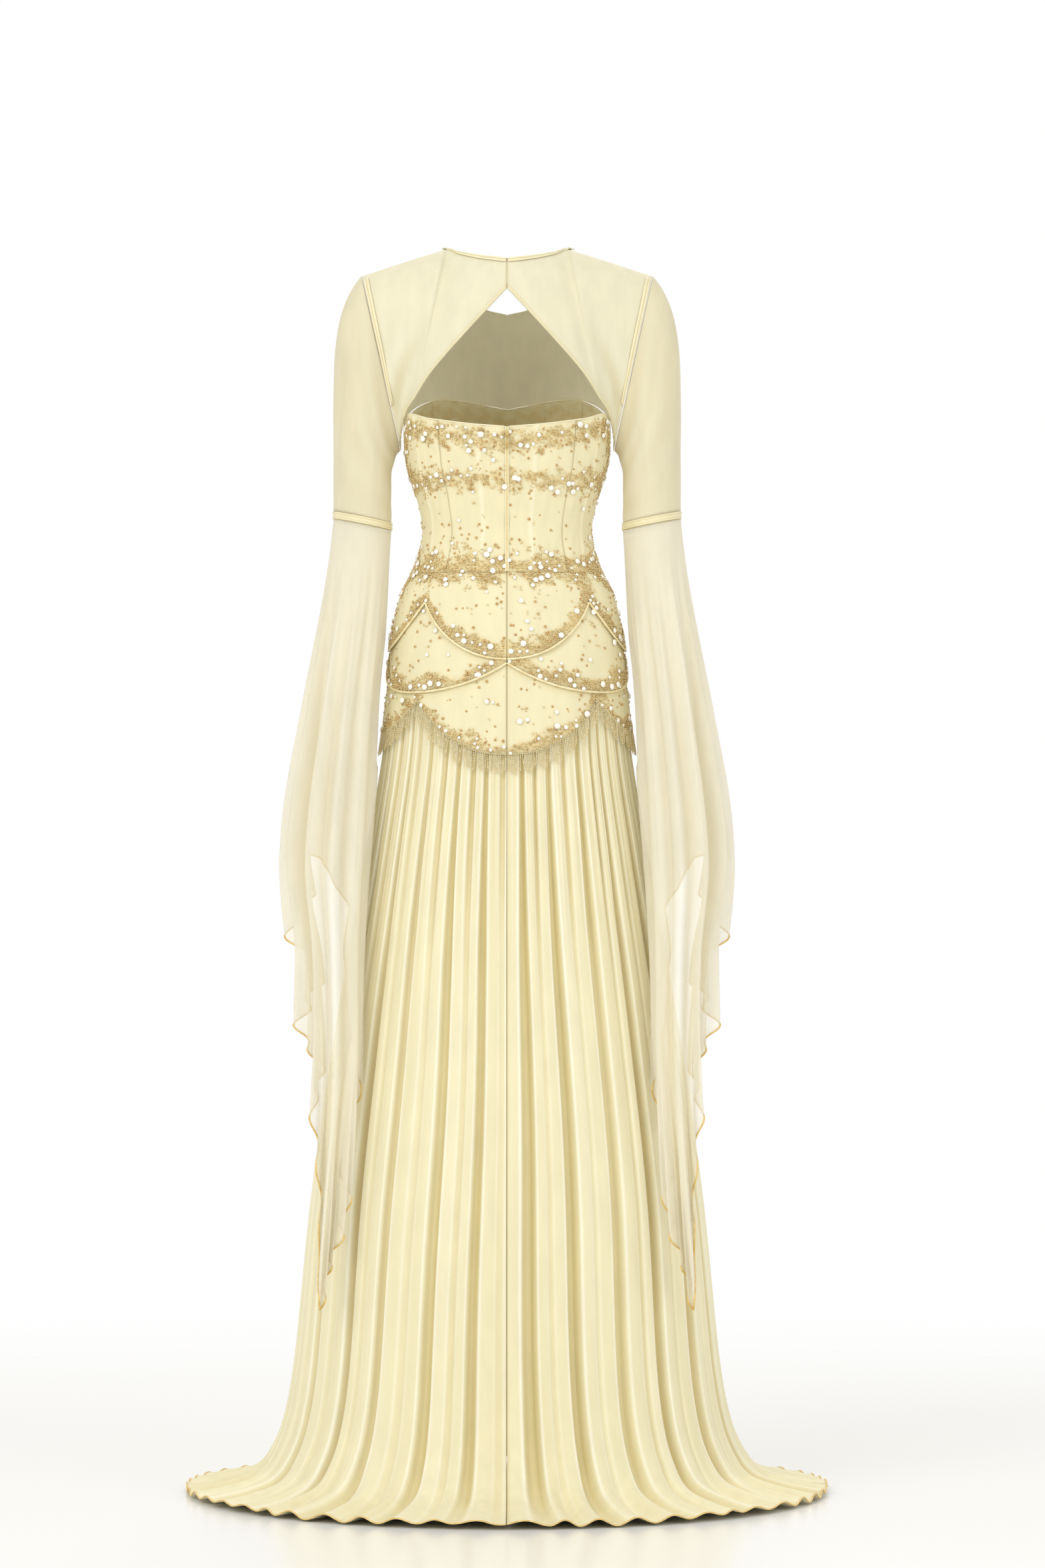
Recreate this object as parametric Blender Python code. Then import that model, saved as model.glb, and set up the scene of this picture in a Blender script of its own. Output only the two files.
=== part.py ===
"""Floor-length pleated evening dress in the pose it is worn in, hollow, with no wearer.

Metres, +Z up. The origin is midway between the shoulders, at the height where
the yoke rests on them. The wearer faces +Y, so the back, with its zip and its
keyhole, faces -Y, and +X is the wearer's right. Heights in the tables are
above the floor that the hem lies on.
"""

import math
from collections import namedtuple

import bmesh
import bpy
from mathutils import Matrix, Vector

# Driving sizes
SHOULDER_HEIGHT = 1.560
SEAM_GAP = 0.0003
CLOTH_WALL = 0.0012
TIER_WALL = 0.0010
TIER_STEP = TIER_WALL + 0.0010
PLEAT_WALL = 0.0020
FLUTE_WALL = 0.0020
BINDING_WIDTH = 0.007
BINDING_WALL = 0.0010
YOKE_LIFT = 0.0020
WAIST_SEAM = 1.182
QUARTER = math.pi / 2

# Closed cross-sections of the torso and hips, as a general figure
Section = namedtuple("Section", "height half_width back front power")
FIGURE = [
    Section(1.420, 0.1400, 0.0980, 0.1080, 2.5),
    Section(1.355, 0.1330, 0.0940, 0.1150, 2.5),
    Section(1.318, 0.1280, 0.0900, 0.1120, 2.5),
    Section(1.277, 0.1160, 0.0840, 0.0970, 2.45),
    Section(1.234, 0.1090, 0.0800, 0.0860, 2.4),
    Section(1.191, 0.1190, 0.0860, 0.0850, 2.35),
    Section(1.148, 0.1400, 0.1010, 0.0890, 2.3),
    Section(1.062, 0.1555, 0.1190, 0.0950, 2.2),
    Section(1.010, 0.1620, 0.1240, 0.0990, 2.15),
    Section(0.947, 0.1680, 0.1280, 0.1050, 2.1),
    Section(0.900, 0.1740, 0.1330, 0.1110, 2.0),
]

# Rings of the pleated skirt, from under the third tier to the hem on the floor
Ring = namedtuple("Ring", "height half_width back front power pleat")
SKIRT = [
    Ring(1.0360, 0.1515, 0.1150, 0.0905, 2.15, 0.0030),
    Ring(0.9350, 0.1630, 0.1230, 0.1000, 2.1, 0.0070),
    Ring(0.8000, 0.1870, 0.1580, 0.1300, 2.0, 0.0110),
    Ring(0.6000, 0.2210, 0.2000, 0.1640, 2.0, 0.0140),
    Ring(0.3800, 0.2530, 0.2420, 0.1920, 2.0, 0.0160),
    Ring(0.1400, 0.2790, 0.2700, 0.2200, 2.0, 0.0180),
    Ring(0.0480, 0.3100, 0.3050, 0.2480, 2.0, 0.0200),
    Ring(0.0220, 0.3560, 0.3600, 0.2860, 2.0, 0.0190),
    Ring(0.0205, 0.4130, 0.4300, 0.3320, 2.0, 0.0180),
]
PLEATS_PER_QUARTER = 13

# Slow waves that make the pleats uneven: how many to a quarter, and their reach in it
Sway = namedtuple("Sway", "turns reach")
PLEAT_SWAY = [Sway(3, 0.011), Sway(5, 0.006)]

# Corners of one pleat: where it is across the pleat, and how deep of its depth
Corner = namedtuple("Corner", "place sunk")
PLEAT = [Corner(0.00, 0.30), Corner(0.56, 0.00), Corner(0.80, 1.00)]

# Hip tiers: level top edge, scallop points, lowest line, and the rise at the sides
Tier = namedtuple("Tier", "name top cusp low lift phase rows")
TIERS = [
    Tier("tier1", WAIST_SEAM - SEAM_GAP, 1.142, 1.072, 0.012, 0.0, 3),
    Tier("tier2", 1.160, 1.067, 1.031, -0.004, 0.5, 2),
    Tier("tier3", 1.090, 1.012, 0.948, 0.026, 0.0, 2),
]
SCALLOP_POWER = 2.2
TIER_COLUMNS_PER_QUARTER = 12
PIPING_RADIUS = 0.0014

# Top edge of the bodice round the figure, from centre back to centre front
Edge = namedtuple("Edge", "degrees height")
BODICE_TOP = [
    Edge(0, 1.367),
    Edge(20, 1.371),
    Edge(42, 1.378),
    Edge(64, 1.385),
    Edge(77, 1.363),
    Edge(90, 1.343),
    Edge(104, 1.366),
    Edge(120, 1.392),
    Edge(145, 1.412),
    Edge(180, 1.400),
]
BACK_SEAM = math.radians(38)
FRONT_SEAM = math.radians(138)
BODICE_ROWS = 5

# Edges of the yoke on the right side, as x, y and height
Mark = namedtuple("Mark", "x y height")
KEYHOLE = [
    Mark(0.0000, -0.0840, 1.544),
    Mark(0.0510, -0.0980, 1.488),
    Mark(0.0940, -0.0950, 1.439),
    Mark(0.1170, -0.0740, 1.405),
]
KEYHOLE_DEGREES = [64, 77, 88]
FRONT_DEGREES = [180, 166, 152, 137, 121, 106, 92]
BACK_NECK = [
    Mark(0.0000, -0.0620, 1.584),
    Mark(0.0300, -0.0520, 1.588),
    Mark(0.0580, -0.0300, 1.594),
]
FRONT_NECK = [
    Mark(0.0000, 0.0600, 1.520),
    Mark(0.0340, 0.0560, 1.530),
    Mark(0.0620, 0.0360, 1.560),
]
SHOULDER_REACH = [0.080, 0.115, 0.150, 0.187]
UNDERARM = Mark(0.1370, 0.0, 1.341)
ARMHOLE_DEPTH = 0.056
RIDGE_TOP = 1.616
RIDGE_SLOPE = 0.34
RIDGE_ROUND = 0.045
BLADE_HEIGHT = 1.420
BLADE_BACK = 0.105
BLADE_FRONT = 0.100
BLADE_WIDTH = 0.205

# Arm: the ring at the elbow, and how fast the sleeve's head rounds into its side
ELBOW = Mark(0.1863, -0.015, 1.2545)
ELBOW_HALF_WIDTH = 0.0373
ELBOW_HALF_DEPTH = 0.042
ELBOW_TILT = 0.0075
ARMHOLE_GAP = 0.0012
HEAD_POWER = 7
BAND_DROP = 0.010

# Flared lower sleeve: a section for each drop below the band
Drape = namedtuple("Drape", "drop reach depth half_width half_depth")
SLEEVE = [
    Drape(0.00, 0.1863, -0.015, 0.0373, 0.042),
    Drape(0.10, 0.1950, -0.022, 0.0390, 0.053),
    Drape(0.25, 0.2115, -0.040, 0.0415, 0.068),
    Drape(0.43, 0.2265, -0.068, 0.0470, 0.084),
    Drape(0.55, 0.2220, -0.096, 0.0360, 0.080),
    Drape(0.68, 0.2200, -0.126, 0.0330, 0.064),
    Drape(0.80, 0.2260, -0.146, 0.0300, 0.052),
    Drape(1.00, 0.2400, -0.178, 0.0250, 0.040),
]

# Folds of the lower sleeve, round from its short front tip by way of the outside
Fold = namedtuple("Fold", "degrees drop stand")
FOLDS = [
    Fold(35, 0.430, 0.018),
    Fold(20, 0.478, -0.015),
    Fold(4, 0.529, 0.018),
    Fold(-12, 0.588, -0.014),
    Fold(-28, 0.649, 0.015),
    Fold(-45, 0.700, -0.012),
    Fold(-62, 0.760, 0.012),
    Fold(-80, 0.880, -0.008),
    Fold(-98, 0.990, 0.008),
    Fold(-118, 0.950, -0.007),
    Fold(-138, 0.880, 0.008),
    Fold(-160, 0.780, -0.007),
    Fold(-184, 0.690, 0.008),
    Fold(-212, 0.590, -0.008),
    Fold(-244, 0.500, 0.010),
    Fold(-282, 0.440, -0.010),
]
SLEEVE_CLEARANCE = 0.008
SLEEVE_ROWS = 7

# Bead fringe under the third tier
FRINGE_HEAD = 0.005
FRINGE_LOCKS_PER_QUARTER = 20
FRINGE_LONG = 0.024
FRINGE_THICK = 0.0008

# Zip at the centre back
ZIP_WIDTH = 0.0040
ZIP_WALL = 0.0008
SLIDER_SIZE = Vector((0.0046, 0.0020, 0.0085))
SLIDER_HEIGHT = 1.3570
SLIDER_ABOVE_BAR = 0.0010
BAR_RADIUS = 0.0005
BAR_STAND = 0.0016
BAR_LEG = 0.0018
BARREL_RADIUS = 0.0010
BARREL_BORE = 0.00065
BARREL_LENGTH = 0.0024
PULL_LENGTH = 0.0215
PULL_WIDTH = 0.0044
PULL_THICK = 0.0009

CHIFFON = (0.80, 0.72, 0.46, 1.0)
SHEER = (0.78, 0.70, 0.48, 1.0)
SATIN = (0.83, 0.75, 0.50, 1.0)
GOLD_CORD = (0.76, 0.63, 0.33, 1.0)
BEADED = (0.68, 0.54, 0.27, 1.0)
METAL = (0.80, 0.72, 0.48, 1.0)


def clear_scene():
    """Empties the file, so that only the dress is left."""
    for obj in list(bpy.data.objects):
        bpy.data.objects.remove(obj)


def collection(name):
    """A new collection in the scene."""
    made = bpy.data.collections.new(name)
    bpy.context.scene.collection.children.link(made)
    return made


def material(name, colour, roughness, metallic=0.0):
    """A Principled material in one colour."""
    made = bpy.data.materials.new(name)
    made.use_nodes = True
    shader = made.node_tree.nodes["Principled BSDF"]
    shader.inputs["Base Color"].default_value = colour
    shader.inputs["Roughness"].default_value = roughness
    shader.inputs["Metallic"].default_value = metallic
    return made


def through(keys, values, at):
    """The value at `at` on a smooth curve through values placed at rising keys."""
    last = len(keys) - 1
    if at <= keys[0]:
        return values[0]
    if at >= keys[last]:
        return values[last]
    row = max(i for i in range(last) if keys[i] <= at)

    def slope(i):
        low, high = max(i - 1, 0), min(i + 1, last)
        return (values[high] - values[low]) / (keys[high] - keys[low])

    span = keys[row + 1] - keys[row]
    t = (at - keys[row]) / span
    return (
        values[row] * (2 * t**3 - 3 * t**2 + 1)
        + values[row + 1] * (3 * t**2 - 2 * t**3)
        + slope(row) * (span * (t**3 - 2 * t**2 + t))
        + slope(row + 1) * (span * (t**3 - t**2))
    )


def column(table, key, value, at):
    """One column of a table, read at `at` of its key column."""
    rows = sorted(table, key=lambda row: getattr(row, key))
    keys = [getattr(row, key) for row in rows]
    return through(keys, [getattr(row, value) for row in rows], at)


def along(points, share):
    """A point on a smooth curve through points, which stand at even shares."""
    last = len(points) - 1
    return through([i / last for i in range(last + 1)], points, share)


def ease(low, high, at):
    """0 below low, 1 above high, and a smooth step between."""
    t = min(1.0, max(0.0, (at - low) / (high - low)))
    return t * t * (3 - 2 * t)


def world(x, y, height):
    """A point in the part's frame, from a height above the floor."""
    return Vector((x, y, height - SHOULDER_HEIGHT))


def oval(values, angle, offset=0.0):
    """x and y on a closed section, with the angle from centre back towards +X."""
    half_width, back, front, power = values
    sine, cosine = math.sin(angle), math.cos(angle)
    grown = (abs(sine) ** power + abs(cosine) ** power) ** (-1 / power)
    depth = (back if cosine > 0 else front) + offset
    return (half_width + offset) * grown * sine, -depth * grown * cosine


def figure_section(height):
    """Half-width, back, front and power of the figure at a height."""
    return [
        column(FIGURE, "height", name, height)
        for name in ("half_width", "back", "front", "power")
    ]


def on_figure(angle, height, offset=0.0):
    """A point on the figure's surface, moved out by offset."""
    x, y = oval(figure_section(height), angle, offset)
    return world(x, y, height)


def inside_out(bm):
    """Whether a closed bmesh's faces look inwards, measured close to its own points."""
    near = bm.copy()
    first = next(iter(near.verts)).co.copy()
    bmesh.ops.translate(near, vec=-first, verts=near.verts)
    volume = near.calc_volume(signed=True)
    near.free()
    return volume < 0


def finish(name, bm, into, look, location=(0, 0, 0)):
    """Makes an object from a closed bmesh, with its faces outwards."""
    bmesh.ops.recalc_face_normals(bm, faces=bm.faces)
    if inside_out(bm):
        bmesh.ops.reverse_faces(bm, faces=bm.faces)
    mesh = bpy.data.meshes.new(name)
    bm.to_mesh(mesh)
    bm.free()
    mesh.shade_smooth()
    mesh.set_sharp_from_angle(angle=math.radians(50))
    mesh.materials.append(look)
    made = bpy.data.objects.new(name, mesh)
    made.location = location
    into.objects.link(made)
    return made


def cloth_mesh(columns, rows, place, joined=False):
    """A wall of cloth: a grid and its extruded copy, each point put where place says.

    The grid is split into triangles first, so that a twisted wall has the same
    diagonals on both its faces and keeps its thickness. place takes u and v from 0
    to 1 and side, 0 on the outer face and 1 on the inner. A joined wall is a tube,
    whose last column of points is its first.
    """
    bm = bmesh.new()
    bmesh.ops.create_grid(bm, x_segments=columns, y_segments=rows, size=1.0)
    bmesh.ops.triangulate(bm, faces=bm.faces[:], quad_method="FIXED")
    spot = bm.verts.layers.float_vector.new("spot")
    for vertex in bm.verts:
        u, v = (vertex.co.x + 1) / 2, (vertex.co.y + 1) / 2
        if joined and u > 1 - 1e-6:
            u = 0.0
        vertex[spot] = (u, v, 0.0)
        vertex.co = place(u, v, 0)
    if joined:
        bmesh.ops.remove_doubles(bm, verts=bm.verts[:], dist=1e-6)
    grown = bmesh.ops.extrude_face_region(bm, geom=bm.faces[:])
    for vertex in grown["geom"]:
        if isinstance(vertex, bmesh.types.BMVert):
            vertex.co = place(vertex[spot].x, vertex[spot].y, 1)
    return bm


def mirrored(place):
    """The same cloth on the other side of the dress."""

    def reflect(u, v, side):
        point = place(u, v, side)
        return Vector((-point.x, point.y, point.z))

    return reflect


def outward(surface, u, v, middle, step=0.004):
    """Direction square to a surface at u and v, on the side away from middle."""
    across = surface(u + step, v) - surface(u - step, v)
    up = surface(u, min(v + step, 1.0)) - surface(u, max(v - step, 0.0))
    square = across.cross(up).normalized()
    if square.dot(surface(u, v) - middle(u, v)) < 0:
        square.negate()
    return square


def make_pair(name, columns, rows, place, into, look, joined=False):
    """A piece of cloth for the right side and its mirror for the left."""
    bm = cloth_mesh(columns, rows, place, joined)
    right = finish(f"{name}_right", bm, into, look)
    bm = cloth_mesh(columns, rows, mirrored(place), joined)
    return right, finish(f"{name}_left", bm, into, look)


def cord(name, points, radius, into, look):
    """A thin four-sided cord along points, with closed ends."""
    curve = bpy.data.curves.new(name, "CURVE")
    curve.dimensions = "3D"
    curve.bevel_depth = radius
    curve.bevel_resolution = 0
    curve.use_fill_caps = True
    spline = curve.splines.new("POLY")
    spline.points.add(len(points) - 1)
    for target, point in zip(spline.points, points):
        target.co = (*point, 1.0)
    curve.materials.append(look)
    made = bpy.data.objects.new(name, curve)
    into.objects.link(made)
    return made


# Bodice

def bodice_top(angle):
    """Height of the bodice's top edge at an angle from centre back."""
    from_back = math.degrees(math.pi - abs((angle % (2 * math.pi)) - math.pi))
    return column(BODICE_TOP, "degrees", "height", from_back)


def bodice_place(start, end):
    """Wall of a bodice panel between two angles, from the waist seam to the top edge."""
    gap = SEAM_GAP / 2 / 0.10

    def place(u, v, side):
        angle = start + gap + (end - start - 2 * gap) * u
        height = WAIST_SEAM + (bodice_top(angle) - WAIST_SEAM) * v
        return on_figure(angle, height, -CLOTH_WALL * side)

    return place


def make_bodice(into, look):
    """Seven panels: centre back in two, side backs, side fronts and centre front."""
    panels = [
        ("bodice_back", 0.0, BACK_SEAM, 5),
        ("bodice_side_back", BACK_SEAM, QUARTER, 6),
        ("bodice_side_front", QUARTER, FRONT_SEAM, 5),
    ]
    for name, start, end, columns in panels:
        make_pair(name, columns, BODICE_ROWS, bodice_place(start, end), into, look)
    front = bodice_place(FRONT_SEAM, 2 * math.pi - FRONT_SEAM)
    bm = cloth_mesh(10, BODICE_ROWS, front)
    finish("bodice_centre_front", bm, into, look)


# Hip tiers, their piping and the fringe

def scallop(tier, angle):
    """Height of a tier's lower edge at an angle: lowest mid-scallop, points between."""
    quarters = angle / QUARTER + tier.phase
    from_low = abs(2 * (quarters - round(quarters)))
    hang = tier.low + (tier.cusp - tier.low) * from_low**SCALLOP_POWER
    return hang + tier.lift * math.sin(angle) ** 4


def tier_offset(tier):
    """How far a tier's outer face lies inside the first tier's."""
    return -TIER_STEP * TIERS.index(tier)


def panel_angle(start, end, u):
    """The angle across one panel, with half a seam's gap at each end."""
    gap = SEAM_GAP / 2 / 0.12
    return start + gap + (end - start - 2 * gap) * u


def tier_place(tier, start, end):
    """Wall of a tier between two angles, from its scalloped edge to its level top."""

    def place(u, v, side):
        angle = panel_angle(start, end, u)
        low = scallop(tier, angle)
        height = low + (tier.top - low) * v
        return on_figure(angle, height, tier_offset(tier) - TIER_WALL * side)

    return place


def piping_points(tier, start, end, columns):
    """Centreline of the cord along a tier's scalloped edge."""
    trim = 0.010 * QUARTER / (end - start)
    below = PIPING_RADIUS + SEAM_GAP
    points = []
    for step in range(columns + 1):
        angle = panel_angle(start, end, trim + (1 - 2 * trim) * step / columns)
        height = scallop(tier, angle) - below
        points.append(on_figure(angle, height, tier_offset(tier) + 0.0007))
    return points


def panels_round():
    """Name ending, start and end of each panel round the hips and skirt."""
    return [
        ("back_right", 0.0, QUARTER),
        ("back_left", -QUARTER, 0.0),
        ("front", QUARTER, 3 * QUARTER),
    ]


def make_tiers(into, cloth_look, cord_look):
    """Three overlapping scalloped tiers, the first two edged with piping."""
    for tier in TIERS:
        for ending, start, end in panels_round():
            columns = round(TIER_COLUMNS_PER_QUARTER * (end - start) / QUARTER)
            bm = cloth_mesh(columns, tier.rows, tier_place(tier, start, end))
            finish(f"{tier.name}_{ending}", bm, into, cloth_look)
            if tier.name != "tier3":
                points = piping_points(tier, start, end, columns)
                name = f"{tier.name}_piping_{ending}"
                cord(name, points, PIPING_RADIUS, into, cord_look)


def fringe_place(start, end):
    """Wall of the fringe's head, on the face of the third tier along its edge."""
    tier = TIERS[2]
    lift = tier_offset(tier) + SEAM_GAP

    def place(u, v, side):
        angle = panel_angle(start, end, u)
        height = scallop(tier, angle) + FRINGE_HEAD * v
        return on_figure(angle, height, lift + FRINGE_THICK * (1 - side))

    return place


def make_fringe(into, look):
    """Bead fringe in three lengths: a narrow head along the edge, and locks below it."""
    for ending, start, end in panels_round():
        locks = round(FRINGE_LOCKS_PER_QUARTER * (end - start) / QUARTER)
        bm = cloth_mesh(2 * locks + 1, 1, fringe_place(start, end))
        hang_locks(bm, start, end)
        finish(f"fringe_{ending}", bm, into, look)


def hang_locks(bm, start, end):
    """Draws every second face of the head's lower rim down into a tapered lock."""
    bmesh.ops.recalc_face_normals(bm, faces=bm.faces)
    spot = bm.verts.layers.float_vector["spot"]
    rim = [f for f in bm.faces if max(v[spot].y for v in f.verts) < 1e-6]
    rim.sort(key=lambda f: sum(v[spot].x for v in f.verts))
    grown = bmesh.ops.extrude_discrete_faces(bm, faces=rim[1::2])
    lift = tier_offset(TIERS[2]) + SEAM_GAP + FRINGE_THICK / 2
    for number, face in enumerate(grown["faces"]):
        share = sum(v[spot].x for v in face.verts) / len(face.verts)
        centre = face.calc_center_median()
        long = FRINGE_LONG * (0.84 + 0.16 * math.cos(number * 1.3))
        height = centre.z + SHOULDER_HEIGHT - long
        tip = on_figure(panel_angle(start, end, share), height, lift)
        for vertex in face.verts:
            vertex.co = tip + (vertex.co - centre) * 0.55


# Skirt

def skirt_ring(angle, row):
    """A point of the skirt's outer sweep at a row, which may lie between two rings."""
    low = min(int(row), len(SKIRT) - 2)
    t = row - low
    values = [a * (1 - t) + b * t for a, b in zip(SKIRT[low], SKIRT[low + 1])]
    x, y = oval(values[1:5], angle)
    return world(x, y, values[0])


def skirt_normal(angle, row):
    """Outward direction of the skirt's sweep."""
    above = skirt_ring(angle, max(row - 0.25, 0.0))
    below = skirt_ring(angle, min(row + 0.25, len(SKIRT) - 1.0))
    side = skirt_ring(angle + 0.01, row) - skirt_ring(angle - 0.01, row)
    return side.cross(above - below).normalized()


def skirt_place(start, end):
    """Wall of a skirt panel, whose columns are the pleats' corners."""
    quarters = (end - start) / QUARTER
    pleats = round(PLEATS_PER_QUARTER * quarters)
    columns = pleats * len(PLEAT)

    def place(u, v, side):
        row = (1 - v) * (len(SKIRT) - 1)
        pleat, corner = divmod(round(u * columns), len(PLEAT))
        even = quarters * (pleat + PLEAT[corner].place) / pleats
        sway = sum(s.reach * math.sin(2 * math.pi * s.turns * even) for s in PLEAT_SWAY)
        angle = panel_angle(start, end, (even + sway) / quarters)
        ring = SKIRT[round(row)]
        sunk = ring.pleat * PLEAT[corner].sunk + PLEAT_WALL * side
        return skirt_ring(angle, row) - skirt_normal(angle, row) * sunk

    return place, columns


def make_skirt(into, look):
    """Pleated skirt in three panels: two backs, which meet at a seam, and a front."""
    rows = len(SKIRT) - 1
    back, columns = skirt_place(0.0, QUARTER)
    make_pair("skirt_back", columns, rows, back, into, look)
    front, columns = skirt_place(QUARTER, 3 * QUARTER)
    finish("skirt_front", cloth_mesh(columns, rows, front), into, look)


# Yoke

def ridge(reach):
    """Height of the shoulder line at a distance from the centre."""
    return RIDGE_TOP - RIDGE_SLOPE * (math.hypot(reach, RIDGE_ROUND) - RIDGE_ROUND)


def blade(x, height, forward):
    """y of the rounded upper back or chest that the yoke lies on."""
    rise = max(0.0, height - BLADE_HEIGHT) / (ridge(x) - BLADE_HEIGHT)
    across = (1 - min(1.0, abs(x) / BLADE_WIDTH) ** 2.6) ** (1 / 2.6)
    depth = across * math.sqrt(max(0.0, 1 - min(1.0, rise) ** 2))
    return BLADE_FRONT * depth if forward else -BLADE_BACK * depth


def armhole(share, forward):
    """A point on the armhole, by its share of the height from underarm to shoulder."""
    tip = ridge(SHOULDER_REACH[-1])
    x = UNDERARM.x + (SHOULDER_REACH[-1] - UNDERARM.x) * share
    height = UNDERARM.height + (tip - UNDERARM.height) * share
    turn = math.acos(max(-1.0, min(1.0, 2 * share - 1)))
    depth = ARMHOLE_DEPTH * math.sin(turn) * (0.8 + 0.2 * math.cos(turn))
    depth += SEAM_GAP + 0.003 * (1 - share)
    return Vector((x, depth if forward else -depth, height))


def yoke_edges(forward):
    """Lower and upper edge points of the right half of the yoke."""
    degrees = FRONT_DEGREES if forward else KEYHOLE_DEGREES
    low = [] if forward else [Vector(mark) for mark in KEYHOLE]
    for each in degrees:
        angle = math.radians(each)
        point = on_figure(angle, bodice_top(angle) + 0.0008, YOKE_LIFT)
        low.append(point + Vector((0, 0, SHOULDER_HEIGHT)))
    high = [Vector(mark) for mark in (FRONT_NECK if forward else BACK_NECK)]
    apart = SEAM_GAP if forward else -SEAM_GAP
    high += [Vector((reach, apart, ridge(reach))) for reach in SHOULDER_REACH]
    return low, high


def yoke_surface(forward):
    """The outer face of the right half of the yoke: s outwards, t up to the shoulder."""
    low_edge, high_edge = yoke_edges(forward)

    def from_blade(point):
        return Vector((point.x, point.y - blade(point.x, point.z, forward), point.z))

    def surface(s, t):
        s_in = abs(s)
        low = from_blade(along(low_edge, s_in))
        high = along(high_edge, s_in)
        high.y = max(high.y, SEAM_GAP) if forward else min(high.y, -SEAM_GAP)
        high = from_blade(high)
        low_end, high_end = from_blade(low_edge[-1]), from_blade(high_edge[-1])
        hole = from_blade(armhole(t, forward))
        at = low.lerp(high, t) + (hole - low_end.lerp(high_end, t)) * s_in**3
        height = min(at.z, ridge(at.x))
        y = at.y + blade(at.x, height, forward)
        return world(math.copysign(at.x, s if s else 1.0), y, height)

    return surface


def yoke_outward(surface, forward, s, t):
    """Direction square to the yoke, out of the chest or back and towards the arm."""
    inward = Vector((-math.copysign(0.5, s), -1.0 if forward else 1.0, -0.3))
    return outward(surface, s, t, lambda a, b: surface(a, b) + inward)


def yoke_place(forward, reach):
    """Wall of a yoke piece over its reach outwards."""
    surface = yoke_surface(forward)

    def place(u, v, side):
        s = reach[0] + (reach[1] - reach[0]) * u
        t = 1 - (1 - v) ** 1.5
        point = surface(s, t)
        out = yoke_outward(surface, forward, s, t)
        if t > 1 - 1e-6 and abs(s) >= 0.5:
            out.y = 0.0
        if abs(s) < 0.01 and not forward:
            out.x = 0.0
        return point - out.normalized() * (CLOTH_WALL * side)

    return place


def edge_width(surface, s, t, width, forward_t):
    """The step of s or t that is a given width on the surface."""
    step = 0.01
    if forward_t:
        moved = surface(s, t + step) if t < 0.5 else surface(s, t - step)
    else:
        moved = surface(s - step, t)
    return width * step / max(1e-6, (moved - surface(s, t)).length)


def binding_place(track, surface_of, lift):
    """Wall of a narrow strip that lies on the yoke, along a track of its edge."""

    def place(u, v, side):
        forward, s, t, inward = track(u)
        surface = surface_of[forward]
        width = BINDING_WIDTH * v
        s_at = s - inward[0] * edge_width(surface, s, t, width, False)
        t_at = t + inward[1] * edge_width(surface, s, t, width, True)
        point = surface(s_at, t_at)
        out = yoke_outward(surface, forward, s_at, t_at)
        return point + out * (lift + BINDING_WALL * (1 - side))

    return place


def neck_track(u):
    """Round the neckline: back right, front, back left, open at the centre back."""
    inside = 0.004
    turn = 2 * u - 1
    forward = abs(turn) <= 0.5
    s = turn if forward else math.copysign(1 - abs(turn), turn)
    if not forward:
        s += math.copysign(inside * (2 * abs(turn) - 1), turn)
    along_ridge = (abs(s) / 0.5) ** 5
    return forward, s, 0.995, (-math.copysign(along_ridge, s), along_ridge - 1)


def keyhole_track(u):
    """Along the back yoke's lower edge, from the centre back to the underarm."""
    return False, 0.004 + 0.86 * u, 0.004, (0, 1)


def armhole_track(u):
    """Up the back of the armhole, short of both its ends."""
    return False, 0.996, 0.30 + 0.66 * u, (1, 0)


def make_yoke(into, sheer_look, satin_look):
    """Two back pieces, a front piece, and the bindings of their edges."""
    first = SEAM_GAP / 2 / 0.30
    back = yoke_place(False, reach=(first, 1.0))
    make_pair("yoke_back", 10, 7, back, into, sheer_look)
    front = yoke_place(True, reach=(-1.0, 1.0))
    finish("yoke_front", cloth_mesh(18, 7, front), into, sheer_look)
    surfaces = {False: yoke_surface(False), True: yoke_surface(True)}
    keyhole = binding_place(keyhole_track, surfaces, 4 * SEAM_GAP)
    make_pair("keyhole_binding", 13, 1, keyhole, into, satin_look)
    armhole_band = binding_place(armhole_track, surfaces, 6 * SEAM_GAP)
    make_pair("armhole_binding", 8, 1, armhole_band, into, satin_look)
    neck = binding_place(neck_track, surfaces, 7 * SEAM_GAP)
    finish("neck_binding", cloth_mesh(32, 1, neck), into, satin_look)


# Sleeves

def elbow(turn, drop, spread=0.0):
    """A point on the ring at the elbow, at a drop below it and spread out from it."""
    return world(
        ELBOW.x + (ELBOW_HALF_WIDTH + spread) * math.cos(turn),
        ELBOW.y + (ELBOW_HALF_DEPTH + spread) * math.sin(turn),
        ELBOW.height + ELBOW_TILT * math.cos(turn) - drop,
    )


def upper_sleeve(u, v):
    """Outer face of the right upper sleeve: u round the arm, v down it."""
    turn = 2 * math.pi * u
    v = max(v, 0.0)
    start = armhole((1 + math.cos(turn)) / 2, math.sin(turn) > 0)
    start = start + Vector((ARMHOLE_GAP, 0.0, -SHOULDER_HEIGHT))
    end = elbow(turn, 0.0)
    down = v**1.5
    spread = 1 - (1 - down) ** HEAD_POWER
    return Vector((
        start.x + (end.x - start.x) * spread,
        start.y + (end.y - start.y) * spread,
        start.z + (end.z - start.z) * down,
    ))


def arm_middle(u, v):
    """The middle of the arm's tube at v down it."""
    points = [upper_sleeve(u + quarter / 4, v) for quarter in range(4)]
    return sum(points, Vector()) / 4


def upper_sleeve_place(u, v, side):
    """Wall of the right upper sleeve."""
    out = outward(upper_sleeve, u, v, arm_middle)
    return upper_sleeve(u, v) - out * (CLOTH_WALL * side)


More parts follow.
